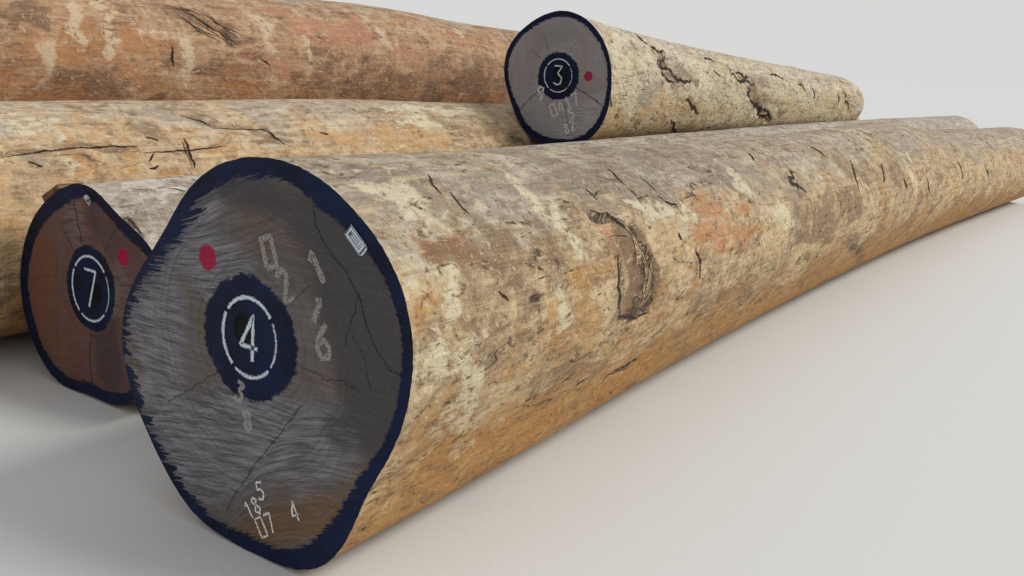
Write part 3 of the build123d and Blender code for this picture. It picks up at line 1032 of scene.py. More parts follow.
def drawn_strokes(form, name, strokes, material, proud=stroke_proud):
    """Flat brush strokes on a near face. Each is a width, a load of paint and its points."""
    places, faces, edges, loads = [], [], [], []
    for width, load, corners in strokes:
        line = even_line(corners, stroke_spacing, fewest=3)
        rough = layered_noise(np.concatenate([line * 120, 0 * line[:, :1]], -1), 2, 3)
        half = width / 2 * (0.75 + 0.5 * rough)
        faces += strip_faces(len(places), 3, len(line))
        for edge in (-1, 0, 1):
            places += (line + square_to(line) * (half * edge)[:, None]).tolist()
            edges += [edge] * len(line)
            loads += [load] * len(line)
    places = np.array(places)
    points = np.concatenate([0 * places[:, :1] + form.near_x + face_setback - proud,
                             places + form.near_centre], -1)
    wood_piece(name, points, faces, material, edge=edges, load=loads, side=places[:, 0], up=places[:, 1])


def arc_points(centre, reach, start, end, count=24):
    """Points on an oval arc between two directions in degrees."""
    turns = np.radians(np.linspace(start, end, count))
    return [(centre[0] + reach[0] * math.cos(turn), centre[1] + reach[1] * math.sin(turn)) for turn in turns]


def numerals(text, start, height, slope, width, load):
    """Strokes of plain numerals from a start point, seen from the front of the face."""
    unit = height / 4
    turn = math.radians(slope)
    right = np.array([-math.cos(turn), math.sin(turn)])
    rise = np.array([math.sin(turn), math.cos(turn)])
    return [
        (width, load, [start + unit * ((x + place * numeral_pitch) * right + y * rise)
                       for x, y in numeral_lines[figure]])
        for place, figure in enumerate(text)
    ]


def ringed_disc(centre, reach, width, figure):
    """A broken painted ring round a plain numeral."""
    arcs = ((1.0, 0.10, 35, 140), (0.8, 0.04, 148, 215), (1.0, 0.08, 222, 300), (1.0, 0.10, 308, 388))
    strokes = [(width * share, load, arc_points(centre, reach, *ends)) for share, load, *ends in arcs]
    height = reach[1] * 1.15
    start = (centre[0] + height * 0.26, centre[1] - height * 0.5)
    return strokes + numerals(figure, start, height, 0, width, 0.12)


def chalk_marks(form, lines):
    """Strokes of plain numerals, each line placed by the pixel its lower left corner is seen at."""
    strokes = []
    for text, pixel, *look in lines:
        strokes += numerals(text, place_on_face(form, pixel), *look)
    return strokes


def face_lines(form, lines):
    """Strokes along lines of pixels on a near face. Each is a width and its pixels."""
    strokes = []
    for width, pixels in lines:
        line = even_line(face_places(form, pixels), face_crack_spacing, extra=2)
        seeded = np.concatenate([line * 45, 0 * line[:, :1]], -1)
        line = line + (np.stack([layered_noise(seeded, 2, seed) for seed in (5, 6)], -1) - 0.5) * 0.012
        strokes.append((width, 0.08, line))
    return strokes


# Label plates, nails and the splinter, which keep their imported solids

def flat_axes(node):
    """Middle, long direction and half sizes of a flat plate that lies square to the logs' length."""
    places = solid_points(node)
    middle = (places.min(0) + places.max(0)) / 2
    flat = places[:, 1:] - middle[1:]
    along = np.linalg.eigh(flat.T @ flat)[1][:, 1]
    across = np.array([-along[1], along[0]])
    half = [float(np.abs(flat @ way).max()) for way in (along, across)]
    return tuple(middle), ((0.0, *along), (0.0, *across)), half


def printed_label(node):
    """A white plate with a worn dark border and bars in place of print."""
    shade = Shade("label_print", 0.55)
    middle, ways, half = flat_axes(node)
    along, across = (
        shade.times(shade.reach_along(shade.place(), middle, way), 1 / size) for way, size in zip(ways, half)
    )
    grime = shade.noise(shade.place(), 160.0, 4.0, 0.7)
    outermost = shade.larger(shade.size(along), shade.size(across))
    border = shade.times(shade.step(outermost, 0.72, 0.78), shade.step(outermost, 0.93, 0.87))
    row = shade.size(shade.math("WRAP", shade.times(across, 2.6), 0.5, -0.5))
    figure = shade.noise(shade.combine(shade.times(along, 7.0), 0.0), 1.0, 2.0, 0.6)
    bars = shade.times(shade.step(row, 0.28, 0.20), shade.step(figure, 0.40, 0.46))
    bars = shade.times(bars, shade.step(outermost, 0.66, 0.60))
    ink = shade.times(shade.larger(border, bars), shade.step(grime, 0.34, 0.48, 0.35, 0.95))
    plate = shade.mix(shade.step(grime, 0.45, 0.70, 0.0, 0.6), tone(214, 222, 230), tone(160, 160, 158))
    return shade.finished(shade.mix(ink, plate, tone(44, 48, 60)), grime, 0.0006)


def worn_metal(name, light_tone, dark_tone, rust_tone, rust_share):
    """Dull metal with scratches, dirt and a share of rust."""
    shade = Shade(name)
    shade.put("Metallic", 0.85)
    patch = shade.noise(shade.place(), 210.0, 4.0, 0.7)
    scratch = shade.noise(shade.stretched(shade.place(), (300.0, 900.0, 160.0)), 1.0, 3.0, 0.6)
    metal = shade.mix(shade.step(patch, 0.35, 0.65), light_tone, dark_tone)
    metal = shade.mix(shade.step(scratch, 0.5, 0.7, 0.0, 0.5), metal, light_tone)
    metal = shade.mix(shade.step(patch, 0.52, 0.66, 0.0, rust_share), metal, rust_tone)
    shade.put("Roughness", shade.step(patch, 0.3, 0.7, 0.35, 0.75))
    return shade.finished(metal, shade.plus(patch, scratch), 0.0005)


def dress_solid(node, material):
    """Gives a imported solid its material."""
    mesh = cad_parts[node].data
    mesh.materials.clear()
    mesh.materials.append(material)


# Floor, light and background

def add_floor():
    size = 700.0
    mesh = bpy.data.meshes.new("floor")
    corners = [(-size, -size, 0), (size, -size, 0), (size, size, 0), (-size, size, 0)]
    mesh.from_pydata(corners, [], [(0, 1, 2, 3)])
    shade = Shade("floor_paper", 0.9)
    grain = shade.noise(shade.place(), 60.0, 3.0, 0.6)
    paper = shade.mix(grain, tone(212, 212, 210), tone(222, 222, 220))
    mesh.materials.append(shade.finished(paper, grain, 0.002, 0.3))
    floor = bpy.data.objects.new("floor", mesh)
    floor.location.z = -0.0005
    bpy.context.scene.collection.objects.link(floor)


def add_light():
    data = bpy.data.lights.new("key", "SUN")
    data.energy = 2.1
    data.angle = math.radians(24)
    data.color = (1.0, 0.97, 0.92)
    key = bpy.data.objects.new("key", data)
    toward = Vector((-0.42, 0.66, -0.72))
    key.rotation_euler = toward.to_track_quat("-Z", "Y").to_euler()
    bpy.context.scene.collection.objects.link(key)


def add_world():
    """Soft light from all round, and a plain backdrop for rays that see or mirror the background."""
    world = bpy.data.worlds.new("studio")
    world.use_nodes = True
    nodes, links = world.node_tree.nodes, world.node_tree.links
    nodes.clear()
    path = nodes.new("ShaderNodeLightPath")
    share = path.outputs["Is Camera Ray"]
    for ray in ("Is Glossy Ray", "Is Transmission Ray"):
        either = nodes.new("ShaderNodeMath")
        either.operation = "MAXIMUM"
        links.new(share, either.inputs[0])
        links.new(path.outputs[ray], either.inputs[1])
        share = either.outputs[0]
    mix = nodes.new("ShaderNodeMixShader")
    links.new(share, mix.inputs[0])
    for socket, colour, strength in ((1, (0.93, 0.96, 1.0, 1), 0.55), (2, tone(216, 216, 214), 1.0)):
        light = nodes.new("ShaderNodeBackground")
        light.inputs["Color"].default_value = colour
        light.inputs["Strength"].default_value = strength
        links.new(light.outputs[0], mix.inputs[socket])
    output = nodes.new("ShaderNodeOutputWorld")
    links.new(mix.outputs[0], output.inputs["Surface"])
    bpy.context.scene.world = world


# Colours of the wood

front_side = toned(
    pale=(198, 188, 172), grey=(136, 121, 106), cream=(226, 206, 168), tan=(180, 153, 116),
    gold=(208, 176, 122), light=(220, 195, 150), orange=(184, 130, 62), pink=(190, 128, 82),
    brown=(124, 96, 70), mark=(222, 210, 178), shade=(94, 71, 52), dark=(52, 37, 27), crack=(34, 24, 18),
    honey=(200, 158, 92),
)
second_side = front_side | toned(
    tan=(180, 174, 164), gold=(186, 178, 164), light=(208, 204, 196), cream=(218, 210, 194),
    mark=(214, 208, 194), orange=(186, 160, 124),
)
third_side = front_side | toned(
    tan=(188, 158, 122), gold=(202, 168, 120), light=(214, 190, 152), orange=(196, 146, 90),
    pale=(208, 196, 178), grey=(156, 140, 124),
)
back_side = front_side | toned(
    tan=(162, 123, 92), gold=(170, 129, 92), light=(192, 158, 124), orange=(172, 117, 70),
    pink=(176, 116, 88), brown=(108, 77, 55), pale=(200, 180, 152), mark=(206, 186, 156),
    cream=(208, 182, 146), honey=(186, 146, 106),
)
upper_side = front_side | toned(
    tan=(204, 190, 166), gold=(214, 198, 164), light=(228, 218, 196), orange=(206, 172, 120),
    grey=(166, 152, 138), pale=(218, 210, 196), cream=(236, 222, 190), brown=(140, 112, 84),
    honey=(222, 202, 162),
)
front_tones = toned(
    base=(109, 103, 99), brown=(101, 89, 81), worn=(116, 114, 118), deep=(79, 75, 75), warm=(118, 86, 58),
    stroke=(154, 150, 152), shade=(68, 62, 60), crack=(22, 18, 17), navy=(12, 18, 38), blue=(14, 28, 62),
    # The hole colour is painted shade, the dark inside of the pith hole.
    sheen=(30, 42, 70), hole=(8, 8, 11), dot=(160, 24, 66), flame=(112, 92, 76), ash=(112, 108, 106),
) | {"flame_share": 0.45}
second_tones = front_tones | toned(
    base=(110, 84, 80), brown=(100, 75, 68), worn=(112, 98, 92), deep=(82, 68, 68), warm=(118, 80, 60),
    stroke=(136, 108, 96), shade=(66, 48, 43), flame=(122, 74, 58), ash=(114, 92, 80),
) | {"flame_share": 0.55}
upper_tones = front_tones | toned(
    base=(158, 155, 160), brown=(148, 144, 148), worn=(164, 161, 168), deep=(140, 136, 140),
    stroke=(176, 172, 174), shade=(118, 111, 110), flame=(150, 138, 130), ash=(166, 162, 164),
) | {"flame_share": 0.5}
end_tones = toned(
    sapwood=(206, 176, 132), heartwood=(160, 120, 84), band=(126, 90, 62), ring=(112, 80, 56),
    sawn=(204, 178, 140), grey=(138, 126, 112), grime=(84, 66, 50), crack=(34, 24, 18), edge=(96, 74, 54),
)

# The rim's paint: directions from the front side up over the top, its width in metres, how combed it is.
front_rim = [
    (0, 0.030, 0.02), (35, 0.040, 0.02), (62, 0.062, 0.03), (80, 0.046, 0.04), (100, 0.050, 0.08),
    (130, 0.056, 0.24), (160, 0.038, 0.24), (180, 0.020, 0.16), (215, 0.026, 0.16), (250, 0.038, 0.08),
    (285, 0.045, 0.06), (305, 0.070, 0.06), (335, 0.034, 0.03),
]
second_rim = [
    (0, 0.026, 0.02), (45, 0.050, 0.03), (80, 0.042, 0.03), (120, 0.058, 0.04), (180, 0.052, 0.03),
    (230, 0.050, 0.03), (290, 0.042, 0.03),
]
upper_rim = [
    (0, 0.030, 0.03), (90, 0.036, 0.03), (140, 0.034, 0.04), (200, 0.032, 0.04), (250, 0.050, 0.05),
    (320, 0.045, 0.05),
]

# Where the fan of saw strokes on the front face starts and where its slanting edge ends, in pixels.
fan_apex_px = (222, 514)
fan_edge_px = (301, 407)

# Marks by kind, each a half width in metres, a strength (for dents a depth) and the pixels it is seen at.
# Splits are a half width in metres and pixels. Zones lie on the near faces and are given as marks are.
front_marks = {
    "grey": [
        (0.030, 1.0, [(366, 171), (396, 168)]), (0.045, 0.9, [(428, 193), (470, 204)]),
        (0.040, 0.9, [(452, 214), (486, 228)]), (0.090, 1.1, [(553, 172), (668, 192)]),
        (0.110, 0.8, [(610, 152), (720, 163)]), (0.120, 0.6, [(720, 176), (800, 183)]),
        (0.120, 0.5, [(880, 150), (1000, 150)]), (0.060, 0.4, [(404, 170), (440, 176)]),
        (0.070, 0.6, [(470, 180), (560, 200)]),
    ],
    "brown": [
        (0.050, 0.75, [(428, 248), (522, 262)]), (0.050, 0.8, [(545, 232), (560, 270)]),
        (0.040, 0.45, [(500, 285), (545, 300)]), (0.060, 2.2, [(634, 240), (637, 302)]),
        (0.050, 0.6, [(520, 350), (600, 372)]), (0.060, 0.5, [(690, 300), (760, 290)]),
        (0.080, 0.7, [(850, 170), (905, 175)]), (0.060, 1.2, [(800, 230), (832, 238)]),
        (0.040, 1.0, [(850, 240), (862, 262)]), (0.055, 0.8, [(468, 236), (530, 286)]),
        (0.030, 1.4, [(648, 245), (656, 275), (652, 300)]), (0.080, 0.9, [(800, 215), (860, 198)]),
    ],
    "pale": [
        (0.025, 1.0, [(517, 178), (541, 214)]), (0.032, 1.0, [(636, 209), (690, 209)]),
        (0.036, 1.0, [(362, 180), (402, 190)]), (0.022, 1.0, [(450, 262), (453, 308)]),
        (0.022, 1.0, [(440, 334), (444, 362)]), (0.022, 1.0, [(560, 275), (568, 324)]),
        (0.020, 1.0, [(468, 350), (474, 384)]), (0.030, 0.9, [(558, 214), (576, 250)]),
        (0.050, 0.9, [(725, 166), (742, 182)]), (0.050, 0.9, [(778, 214), (800, 226)]),
        (0.070, 0.9, [(910, 162), (918, 192)]), (0.035, 0.8, [(785, 285), (812, 250)]),
        (0.080, 0.8, [(830, 128), (850, 130)]), (0.080, 0.55, [(440, 316), (475, 352)]),
        (0.050, 0.6, [(410, 205), (470, 225)]), (0.090, 0.50, [(420, 320), (470, 420)]),
        (0.090, 0.55, [(425, 400), (465, 440)]),
    ],
    "pink": [
        (0.080, 0.6, [(718, 215), (752, 236)]), (0.040, 1.0, [(700, 226), (722, 242)]),
        (0.040, 0.7, [(424, 244), (470, 252)]), (0.050, 0.7, [(690, 196), (722, 212)]),
        (0.050, 0.6, [(600, 222), (628, 240)]),
    ],
    "orange": [
        (0.120, 0.8, [(470, 440), (650, 362)]), (0.070, 0.6, [(530, 345), (600, 335)]),
        (0.120, 0.6, [(780, 300), (960, 215)]), (0.060, 0.9, [(580, 300), (600, 340)]),
        (0.060, 0.9, [(420, 470), (560, 410)]), (0.060, 0.3, [(420, 300), (470, 330)]),
        (0.070, 0.7, [(735, 222), (760, 232)]),
    ],
    "dark": [
        (0.014, 0.9, [(592, 210), (622, 217), (644, 240), (654, 270), (655, 300), (640, 316), (622, 320)]),
        (0.010, 0.8, [(621, 256), (623, 300), (622, 317)]), (0.012, 1.0, [(606, 381), (636, 366)]),
        (0.016, 0.7, [(853, 246), (858, 255)]), (0.030, 0.8, [(640, 250), (647, 290), (636, 312)]),
    ],
    "dent": [
        (0.022, 0.012, [(592, 210), (622, 217), (644, 240), (654, 270), (655, 300), (640, 316)]),
        (0.045, 0.010, [(630, 262), (634, 305)]), (0.014, 0.010, [(608, 165), (643, 200)]),
        (0.014, 0.010, [(640, 173), (681, 213)]), (0.020, 0.014, [(606, 381), (636, 366)]),
    ],
}
front_splits = [
    (0.006, [(608, 165), (620, 178), (632, 188), (643, 200)]),
    (0.005, [(640, 173), (655, 188), (668, 200), (681, 213)]),
    (0.011, [(811, 146), (820, 150), (828, 157)]),
    (0.010, [(787, 165), (795, 172), (790, 180), (800, 187), (808, 193)]),
    (0.009, [(851, 159), (857, 178), (861, 196)]), (0.010, [(881, 161), (884, 172), (885, 183)]),
    (0.011, [(904, 176), (908, 190)]), (0.011, [(928, 178), (930, 197)]), (0.012, [(958, 160), (964, 180)]),
    (0.012, [(985, 165), (990, 178)]), (0.006, [(696, 249), (702, 262), (700, 282)]),
    (0.004, [(592, 211), (610, 213), (626, 222), (640, 240)]),
    (0.006, [(640, 242), (648, 262), (652, 285), (647, 302)]),
    (0.005, [(622, 258), (620, 285), (623, 314)]), (0.004, [(622, 316), (638, 319), (652, 312)]),
    (0.007, [(605, 380), (618, 372), (634, 366)]), (0.004, [(577, 386), (590, 378)]),
    (0.003, [(428, 172), (434, 184), (446, 194)]), (0.003, [(452, 190), (462, 205), (472, 214)]),
    (0.003, [(500, 290), (512, 300)]), (0.003, [(586, 186), (600, 200)]), (0.004, [(660, 196), (680, 205)]),
    (0.006, [(748, 150), (756, 160)]), (0.007, [(680, 234), (684, 240)]),
]
second_marks = {
    "pale": [
        (0.080, 0.8, [(150, 182), (205, 176)]),
    ],
    "dark": [
        (0.018, 1.0, [(128, 217), (142, 233)]),
    ],
    "grey": [
        (0.050, 0.7, [(150, 190), (170, 196)]),
    ],
}
second_splits = [
    (0.006, [(128, 216), (135, 224), (142, 232)]), (0.003, [(136, 176), (144, 182)]),
    (0.003, [(170, 186), (186, 190)]),
]
third_marks = {
    "pale": [
        (0.060, 0.7, [(8, 128), (44, 122)]), (0.030, 0.6, [(60, 135), (66, 170)]),
        (0.040, 0.8, [(380, 106), (470, 110)]), (0.040, 0.6, [(400, 118), (480, 122)]),
    ],
    "grey": [
        (0.080, 0.5, [(240, 105), (510, 113)]), (0.060, 0.8, [(148, 112), (182, 117)]),
        (0.030, 0.9, [(28, 162), (45, 164)]),
    ],
    "orange": [
        (0.060, 0.8, [(314, 132), (440, 140)]), (0.050, 0.8, [(70, 131), (84, 170)]),
        (0.040, 0.7, [(125, 122), (138, 170)]), (0.080, 0.6, [(0, 180), (20, 260)]),
    ],
    "brown": [
        (0.040, 0.8, [(140, 128), (168, 135)]), (0.060, 0.7, [(440, 120), (500, 128)]),
        (0.016, 0.8, [(0, 157), (64, 147), (139, 145)]), (0.022, 0.8, [(180, 113), (214, 125), (270, 127)]),
        # Painted shadow: darker brown where the upper log's shadow falls on the third log.
        (0.080, 0.9, [(500, 140), (530, 145)]),
    ],
    "dent": [
        (0.014, 0.007, [(0, 157), (64, 147), (139, 145)]), (0.016, 0.010, [(186, 137), (198, 168)]),
        (0.020, 0.008, [(180, 113), (214, 125), (270, 127)]),
    ],
    "dark": [
        # Painted shadow: the darkest part of the upper log's shadow on the third log.
        (0.050, 0.5, [(515, 140), (535, 146)]),
    ],
}
third_splits = [
    (0.0034, [(1, 157), (30, 152), (64, 147), (100, 146), (139, 145)]),
    (0.003, [(143, 152), (160, 151), (179, 150), (200, 148), (229, 145)]),
    (0.006, [(186, 137), (190, 150), (198, 168)]), (0.003, [(183, 139), (188, 153), (193, 166)]),
    (0.005, [(262, 127), (275, 135), (286, 143)]), (0.004, [(146, 136), (160, 139)]),
    (0.004, [(150, 168), (160, 165)]), (0.004, [(180, 113), (200, 118), (214, 125)]),
    (0.003, [(216, 126), (245, 128), (270, 127)]), (0.004, [(320, 131), (330, 134)]),
    (0.004, [(28, 160), (45, 166)]), (0.003, [(150, 160), (155, 152)]),
]
back_marks = {
    "orange": [
        (0.110, 1.0, [(80, 42), (157, 46)]), (0.120, 0.8, [(1, 60), (46, 62)]),
    ],
    "pale": [
        (0.030, 0.9, [(47, 45), (49, 88)]), (0.030, 0.9, [(72, 6), (76, 34)]),
        (0.035, 0.9, [(105, 4), (110, 52)]), (0.030, 0.9, [(182, 36), (188, 88)]),
        (0.030, 0.9, [(304, 36), (309, 66)]), (0.040, 0.8, [(371, 21), (389, 43)]),
        (0.040, 0.8, [(461, 32), (471, 68)]), (0.035, 0.8, [(262, 20), (270, 45)]),
        (0.040, 0.7, [(150, 30), (175, 34)]),
    ],
    "brown": [
        (0.060, 0.9, [(171, 10), (205, 22), (243, 39)]), (0.110, 0.8, [(300, 86), (520, 94)]),
        (0.100, 0.7, [(430, 66), (505, 74)]), (0.050, 0.8, [(1, 15), (40, 12)]),
        (0.070, 0.7, [(60, 88), (130, 92)]), (0.070, 0.6, [(200, 66), (260, 74)]),
    ],
    "pink": [
        (0.100, 0.8, [(293, 20), (364, 34)]), (0.070, 0.7, [(250, 60), (290, 64)]),
        (0.070, 0.6, [(400, 50), (450, 56)]),
    ],
    "dark": [
        (0.030, 0.6, [(186, 10), (208, 24), (232, 38)]),
    ],
    "dent": [
        (0.060, 0.010, [(171, 10), (205, 22), (243, 39)]),
    ],
}
back_splits = [
    (0.0040, [(183, 8), (205, 22), (226, 35)]), (0.0026, [(175, 12), (196, 26), (216, 36)]),
    (0.0030, [(192, 6), (215, 20), (240, 38)]), (0.0024, [(190, 12), (212, 26), (236, 42)]),
    (0.0024, [(180, 16), (199, 30), (222, 42)]), (0.0020, [(200, 8), (222, 24), (246, 36)]),
    (0.0022, [(196, 20), (214, 32), (230, 44)]), (0.0020, [(173, 6), (190, 9), (206, 16)]),
    (0.006, [(171, 46), (173, 58), (175, 68)]), (0.004, [(378, 2), (384, 12)]),
    (0.004, [(262, 58), (272, 66)]),
]
upper_marks = {
    "pale": [
        (0.110, 1.2, [(618, 48), (634, 92)]), (0.090, 1.1, [(696, 64), (706, 90)]),
        (0.080, 1.1, [(733, 92), (742, 128)]), (0.080, 0.8, [(800, 96), (812, 112)]),
        # Painted light: a pale band that lightens the shaded lower side of the upper log.
        (0.090, 0.8, [(620, 130), (850, 116)]),
    ],
    "orange": [
        (0.110, 1.0, [(612, 128), (690, 116)]), (0.070, 0.8, [(700, 118), (728, 112)]),
        (0.110, 0.9, [(780, 112), (850, 106)]),
    ],
    "brown": [
        (0.045, 0.9, [(668, 62), (676, 72), (696, 78)]), (0.045, 0.9, [(736, 74), (750, 82), (768, 84)]),
        (0.040, 0.8, [(778, 106), (786, 112)]), (0.040, 0.9, [(752, 88), (762, 98), (772, 102)]),
        (0.040, 0.6, [(815, 78), (850, 84)]), (0.050, 0.8, [(660, 52), (664, 68), (684, 84)]),
        (0.050, 0.8, [(752, 92), (760, 110), (770, 122)]), (0.035, 0.7, [(690, 98), (700, 114)]),
    ],
    "grey": [
        (0.070, 0.9, [(640, 100), (662, 88)]), (0.090, 0.9, [(700, 56), (850, 78)]),
    ],
    "dark": [
        (0.018, 0.6, [(666, 58), (668, 70), (680, 80)]), (0.022, 0.6, [(752, 92), (757, 106), (767, 120)]),
        (0.020, 0.6, [(846, 94), (850, 108)]),
    ],
    "dent": [
        (0.040, 0.018, [(653, 46), (666, 56), (663, 67), (674, 80)]),
        (0.080, 0.012, [(670, 66), (692, 74)]), (0.080, 0.012, [(742, 76), (766, 84)]),
        (0.056, 0.022, [(751, 91), (757, 107), (768, 122)]), (0.050, 0.018, [(846, 94), (850, 108)]),
    ],
}
upper_splits = [
    (0.010, [(638, 34), (644, 41), (650, 45), (658, 47), (664, 50), (668, 55)]),
    (0.011, [(668, 55), (663, 60), (664, 66), (672, 69), (675, 74), (680, 79), (688, 82), (694, 80)]),
    (0.012, [(662, 58), (658, 63), (664, 70), (668, 77), (676, 84)]),
    (0.012, [(730, 70), (735, 74), (738, 79), (744, 81), (748, 80), (752, 83), (757, 87)]),
    (0.012, [(736, 72), (741, 72), (745, 76), (752, 77)]),
    (0.012, [(748, 86), (752, 90), (751, 97), (755, 101)]),
    (0.017, [(750, 90), (751, 97), (755, 101), (757, 107), (762, 109), (760, 114), (765, 118), (768, 123)]),
    (0.012, [(762, 109), (768, 112), (773, 117), (770, 122)]),
    (0.012, [(686, 98), (690, 101), (691, 106), (696, 109), (699, 115)]),
    (0.009, [(671, 120), (675, 123), (674, 128), (677, 134)]), (0.012, [(630, 30), (637, 34), (643, 41)]),
    (0.013, [(843, 91), (848, 96), (846, 101), (851, 104), (850, 111)]),
    (0.012, [(838, 92), (840, 98), (838, 103)]), (0.010, [(704, 57), (710, 58), (716, 62)]),
    (0.010, [(770, 73), (777, 75), (784, 79)]), (0.010, [(798, 83), (803, 86), (806, 92)]),
    (0.008, [(606, 97), (612, 101), (613, 107)]), (0.008, [(714, 70), (719, 73), (722, 78)]),
    (0.010, [(812, 88), (816, 94), (814, 100)]),
]
front_face_cracks = [
    (0.0040, [(312, 205), (315, 228), (326, 246), (344, 268), (352, 282), (358, 293), (366, 325),
     (376, 350), (388, 368), (401, 378)]), (0.0030, [(358, 294), (352, 318), (345, 345)]),
    (0.0035, [(301, 407), (283, 430), (262, 455), (243, 483), (226, 510)]),
    (0.0030, [(219, 370), (203, 381), (186, 391), (168, 402)]),
    (0.0026, [(197, 292), (203, 300), (210, 309)]),
    (0.0026, [(352, 338), (362, 352), (366, 372), (372, 392)]),
]
front_zones = {
    "worn": [
        (0.120, 1.0, [(150, 300), (150, 420)]), (0.075, 1.0, [(178, 235), (235, 285)]),
        (0.120, 1.0, [(175, 455), (262, 430)]), (0.050, 0.9, [(205, 200), (185, 240)]),
        (0.080, 0.75, [(262, 440), (335, 432)]), (0.060, 0.6, [(300, 475), (335, 455)]),
    ],
    "deep": [
        (0.050, 0.7, [(225, 182), (300, 205)]), (0.120, 1.0, [(345, 260), (385, 420)]),
        (0.060, 0.9, [(305, 215), (350, 250)]), (0.060, 0.7, [(340, 430), (375, 420)]),
    ],
    "warm": [
        (0.042, 1.0, [(245, 538), (325, 512)]), (0.024, 0.35, [(330, 500), (385, 445)]),
        (0.030, 0.6, [(131, 330), (138, 400)]), (0.014, 0.6, [(385, 255), (404, 330)]),
    ],
}
second_zones = {
    "warm": [
        (0.080, 0.9, [(40, 250), (45, 330)]), (0.060, 0.6, [(60, 360), (70, 340)]),
    ],
    "worn": [
        (0.050, 0.8, [(72, 205), (76, 235)]), (0.050, 0.7, [(120, 280), (112, 300)]),
    ],
    "deep": [
        (0.070, 0.9, [(105, 330), (110, 370)]), (0.060, 0.6, [(95, 215), (110, 240)]),
    ],
}
upper_zones = {
    "worn": [
        (0.090, 0.8, [(600, 110), (570, 125)]),
    ],
    "deep": [
        (0.070, 0.6, [(540, 40), (570, 30)]), (0.060, 0.5, [(520, 110), (535, 125)]),
    ],
}

# Drying cracks of the far ends: direction in degrees, from, to and half width in metres.
far_end_cracks = [
    (12, 0.02, 0.42, 0.0030), (74, 0.05, 0.34, 0.0022), (131, 0.02, 0.40, 0.0034), (196, 0.06, 0.30, 0.0020),
    (228, 0.03, 0.44, 0.0028), (301, 0.02, 0.36, 0.0026),
]

# Slivers at the front log's scars: count, length, spread, lean in degrees and the pixels they are along.
sliver_zones = [
    (46, 0.075, 0.016, 96, [(640, 242), (652, 285), (645, 304)]),
    (10, 0.036, 0.008, 50, [(596, 212), (626, 222)]),
    (22, 0.055, 0.010, 80, [(622, 258), (623, 314)]),
    (16, 0.050, 0.012, 10, [(606, 381), (636, 366)]),
    (10, 0.040, 0.012, 60, [(608, 165), (643, 200)]),
]

# The painted rings of the logs: centre, reach to the side and up, stroke width and numeral.
painted_rings = {
    "front": ((0.004, 0.059), (0.095, 0.100), 0.013, "4"),
    "second": ((-0.003, 0.020), (0.104, 0.112), 0.011, "7"),
    "upper": ((-0.014, 0.024), (0.100, 0.100), 0.010, "3"),
    "third": ((-0.005, 0.022), (0.104, 0.110), 0.011, "6"),
    "rear": ((-0.005, 0.022), (0.100, 0.108), 0.011, "5"),
    "back": ((-0.014, 0.024), (0.104, 0.102), 0.010, "9"),
}

# Numerals drawn on the faces: text, pixel of its lower left, height, slope, stroke width and load.
faded_numerals = [
    ("0", (267, 268), 0.070, 20, 0.015, 0.03),
    ("2", (285, 302), 0.070, 30, 0.015, 0.02),
    ("1", (318, 287), 0.075, 35, 0.018, 0.03),
    ("1", (308, 318), 0.060, -20, 0.017, 0.02),
    ("6", (318, 358), 0.080, 10, 0.015, 0.03),
    ("3", (234, 398), 0.050, -15, 0.013, 0.06),
    ("8", (245, 430), 0.050, 10, 0.013, 0.06),
]
front_chalk = [
    ("5", (259, 500), 0.045, 20, 0.0065, 0.10),
    ("18", (250, 520), 0.045, 40, 0.0065, 0.10),
    ("07", (262, 538), 0.050, 35, 0.0065, 0.10),
    ("4", (294, 522), 0.050, 30, 0.0065, 0.10),
]
upper_chalk = [
    ("9", (537, 100), 0.085, 0, 0.018, 0.05),
    ("0417", (553, 117), 0.075, 28, 0.015, 0.03),
    ("5", (571, 119), 0.060, 28, 0.011, 0.05),
    ("82", (566, 134), 0.060, 28, 0.011, 0.05),
]


# The heap put together

add_camera()
front_face = sawn_face(
    "front_face_wood", front_tones, 1,
    {"fray": 0.020, "sway": 0.024},
    {"centre": (0.006, 0.056), "reach": (0.163, 0.158), "pith": (0.024, 0.076)},
    {"centre": (0.162, 0.230), "reach": 0.032},
    [(186, 0.17, 0.40, 0.0010), (140, 0.18, 0.30, 0.0010)],
)
second_face = sawn_face(
    "second_face_wood", second_tones, 2,
    {"fray": 0.024, "sway": 0.026},
    {"centre": (-0.005, 0.022), "reach": (0.138, 0.147), "pith": (-0.030, 0.010)},
    {"centre": (-0.185, 0.162), "reach": 0.030},
    [(72, 0.14, 0.36, 0.0030), (50, 0.15, 0.30, 0.0018), (272, 0.14, 0.40, 0.0030),
     (165, 0.14, 0.33, 0.0014), (120, 0.15, 0.30, 0.0012)],
)
upper_face = sawn_face(
    "upper_face_wood", upper_tones, 3,
    {"fray": 0.020, "sway": 0.018},
    {"centre": (-0.016, 0.022), "reach": (0.150, 0.144), "pith": (-0.006, 0.034)},
    {"centre": (-0.229, 0.037), "reach": 0.030},
    [(206, 0.12, 0.42, 0.0030), (322, 0.12, 0.42, 0.0032), (60, 0.15, 0.30, 0.0016),
     (35, 0.15, 0.30, 0.0014), (118, 0.15, 0.28, 0.0014), (250, 0.15, 0.36, 0.0018)],
)
crack_dark = crack_shadow("split_shadow")

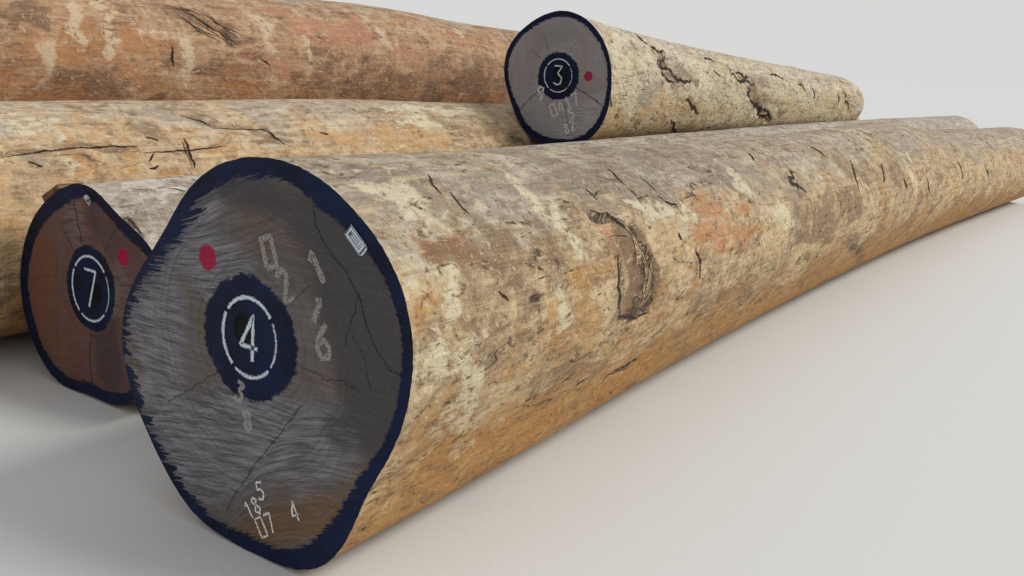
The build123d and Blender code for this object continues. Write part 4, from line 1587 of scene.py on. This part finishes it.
front_skin = dress_log("front", (front_side, 1, 0.62, 1.0), front_face, (-75, 108), 11,
                       front_marks, front_splits, front_zones, blade_flow, front_rim)
dress_log("second", (second_side, 2, 0.35, 0.7), second_face, (-10, 150), 23,
          second_marks, second_splits, second_zones, plain_flow, second_rim)
dress_log("third", (third_side, 3, 0.80, 0.6), second_face, (-30, 130), 37,
          third_marks, third_splits, {}, plain_flow, second_rim)
dress_log("rear", (back_side, 4, 0.80, 0.6), second_face, (60, 90), 41,
          {}, (), {}, plain_flow, second_rim)
dress_log("upper", (upper_side, 5, 0.92, 1.15), upper_face, (-75, 110), 53,
          upper_marks, upper_splits, upper_zones, plain_flow, upper_rim)
dress_log("back", (back_side, 6, 0.95, 0.5), upper_face, (-60, 110), 67,
          back_marks, back_splits, {}, plain_flow, upper_rim)
torn_fibre = split_wood("torn_fibre", tone(206, 182, 142), tone(120, 92, 66))
fibre_slivers(front, front_skin, "front_log_slivers", sliver_zones, torn_fibre)

paint = brushed_paint("pale_paint", (tone(200, 214, 226), tone(222, 228, 232)), 0.22, 1.0)
faded = brushed_paint("faded_paint", (tone(186, 178, 170), tone(206, 200, 192)), 0.05, 0.5)
thin_chalk = brushed_paint("thin_chalk", (tone(226, 220, 212), tone(246, 242, 236)), 0.18, 0.95)
dark_line = brushed_paint("face_crack", (tone(24, 19, 17), tone(40, 33, 30)), 0.20, 0.7)
for log, ring in painted_rings.items():
    drawn_strokes(forms[log + "_log"], log + "_marks", ringed_disc(*ring), paint)
drawn_strokes(front, "front_cracks", face_lines(front, front_face_cracks), dark_line, face_crack_proud)
drawn_strokes(front, "front_faded_numerals", chalk_marks(front, faded_numerals), faded)
drawn_strokes(front, "front_chalk", chalk_marks(front, front_chalk), thin_chalk)
drawn_strokes(forms["upper_log"], "upper_chalk", chalk_marks(forms["upper_log"], upper_chalk), thin_chalk)

rusty_steel = worn_metal("rusty_steel", tone(150, 150, 152), tone(70, 66, 64), tone(104, 62, 40), 0.8)
dull_metal = worn_metal("dull_metal", tone(206, 212, 216), tone(128, 132, 136), tone(96, 88, 80), 0.4)
dress_solid("front_tag", printed_label("front_tag"))
dress_solid("second_tag", dull_metal)
dress_solid("front_nail", rusty_steel)
dress_solid("second_nail", rusty_steel)
dress_solid("rim_splinter", split_wood("splinter_fibre", tone(140, 104, 72), tone(66, 44, 30)))

add_floor()
add_light()
add_world()
bpy.context.scene.view_settings.view_transform = "Standard"
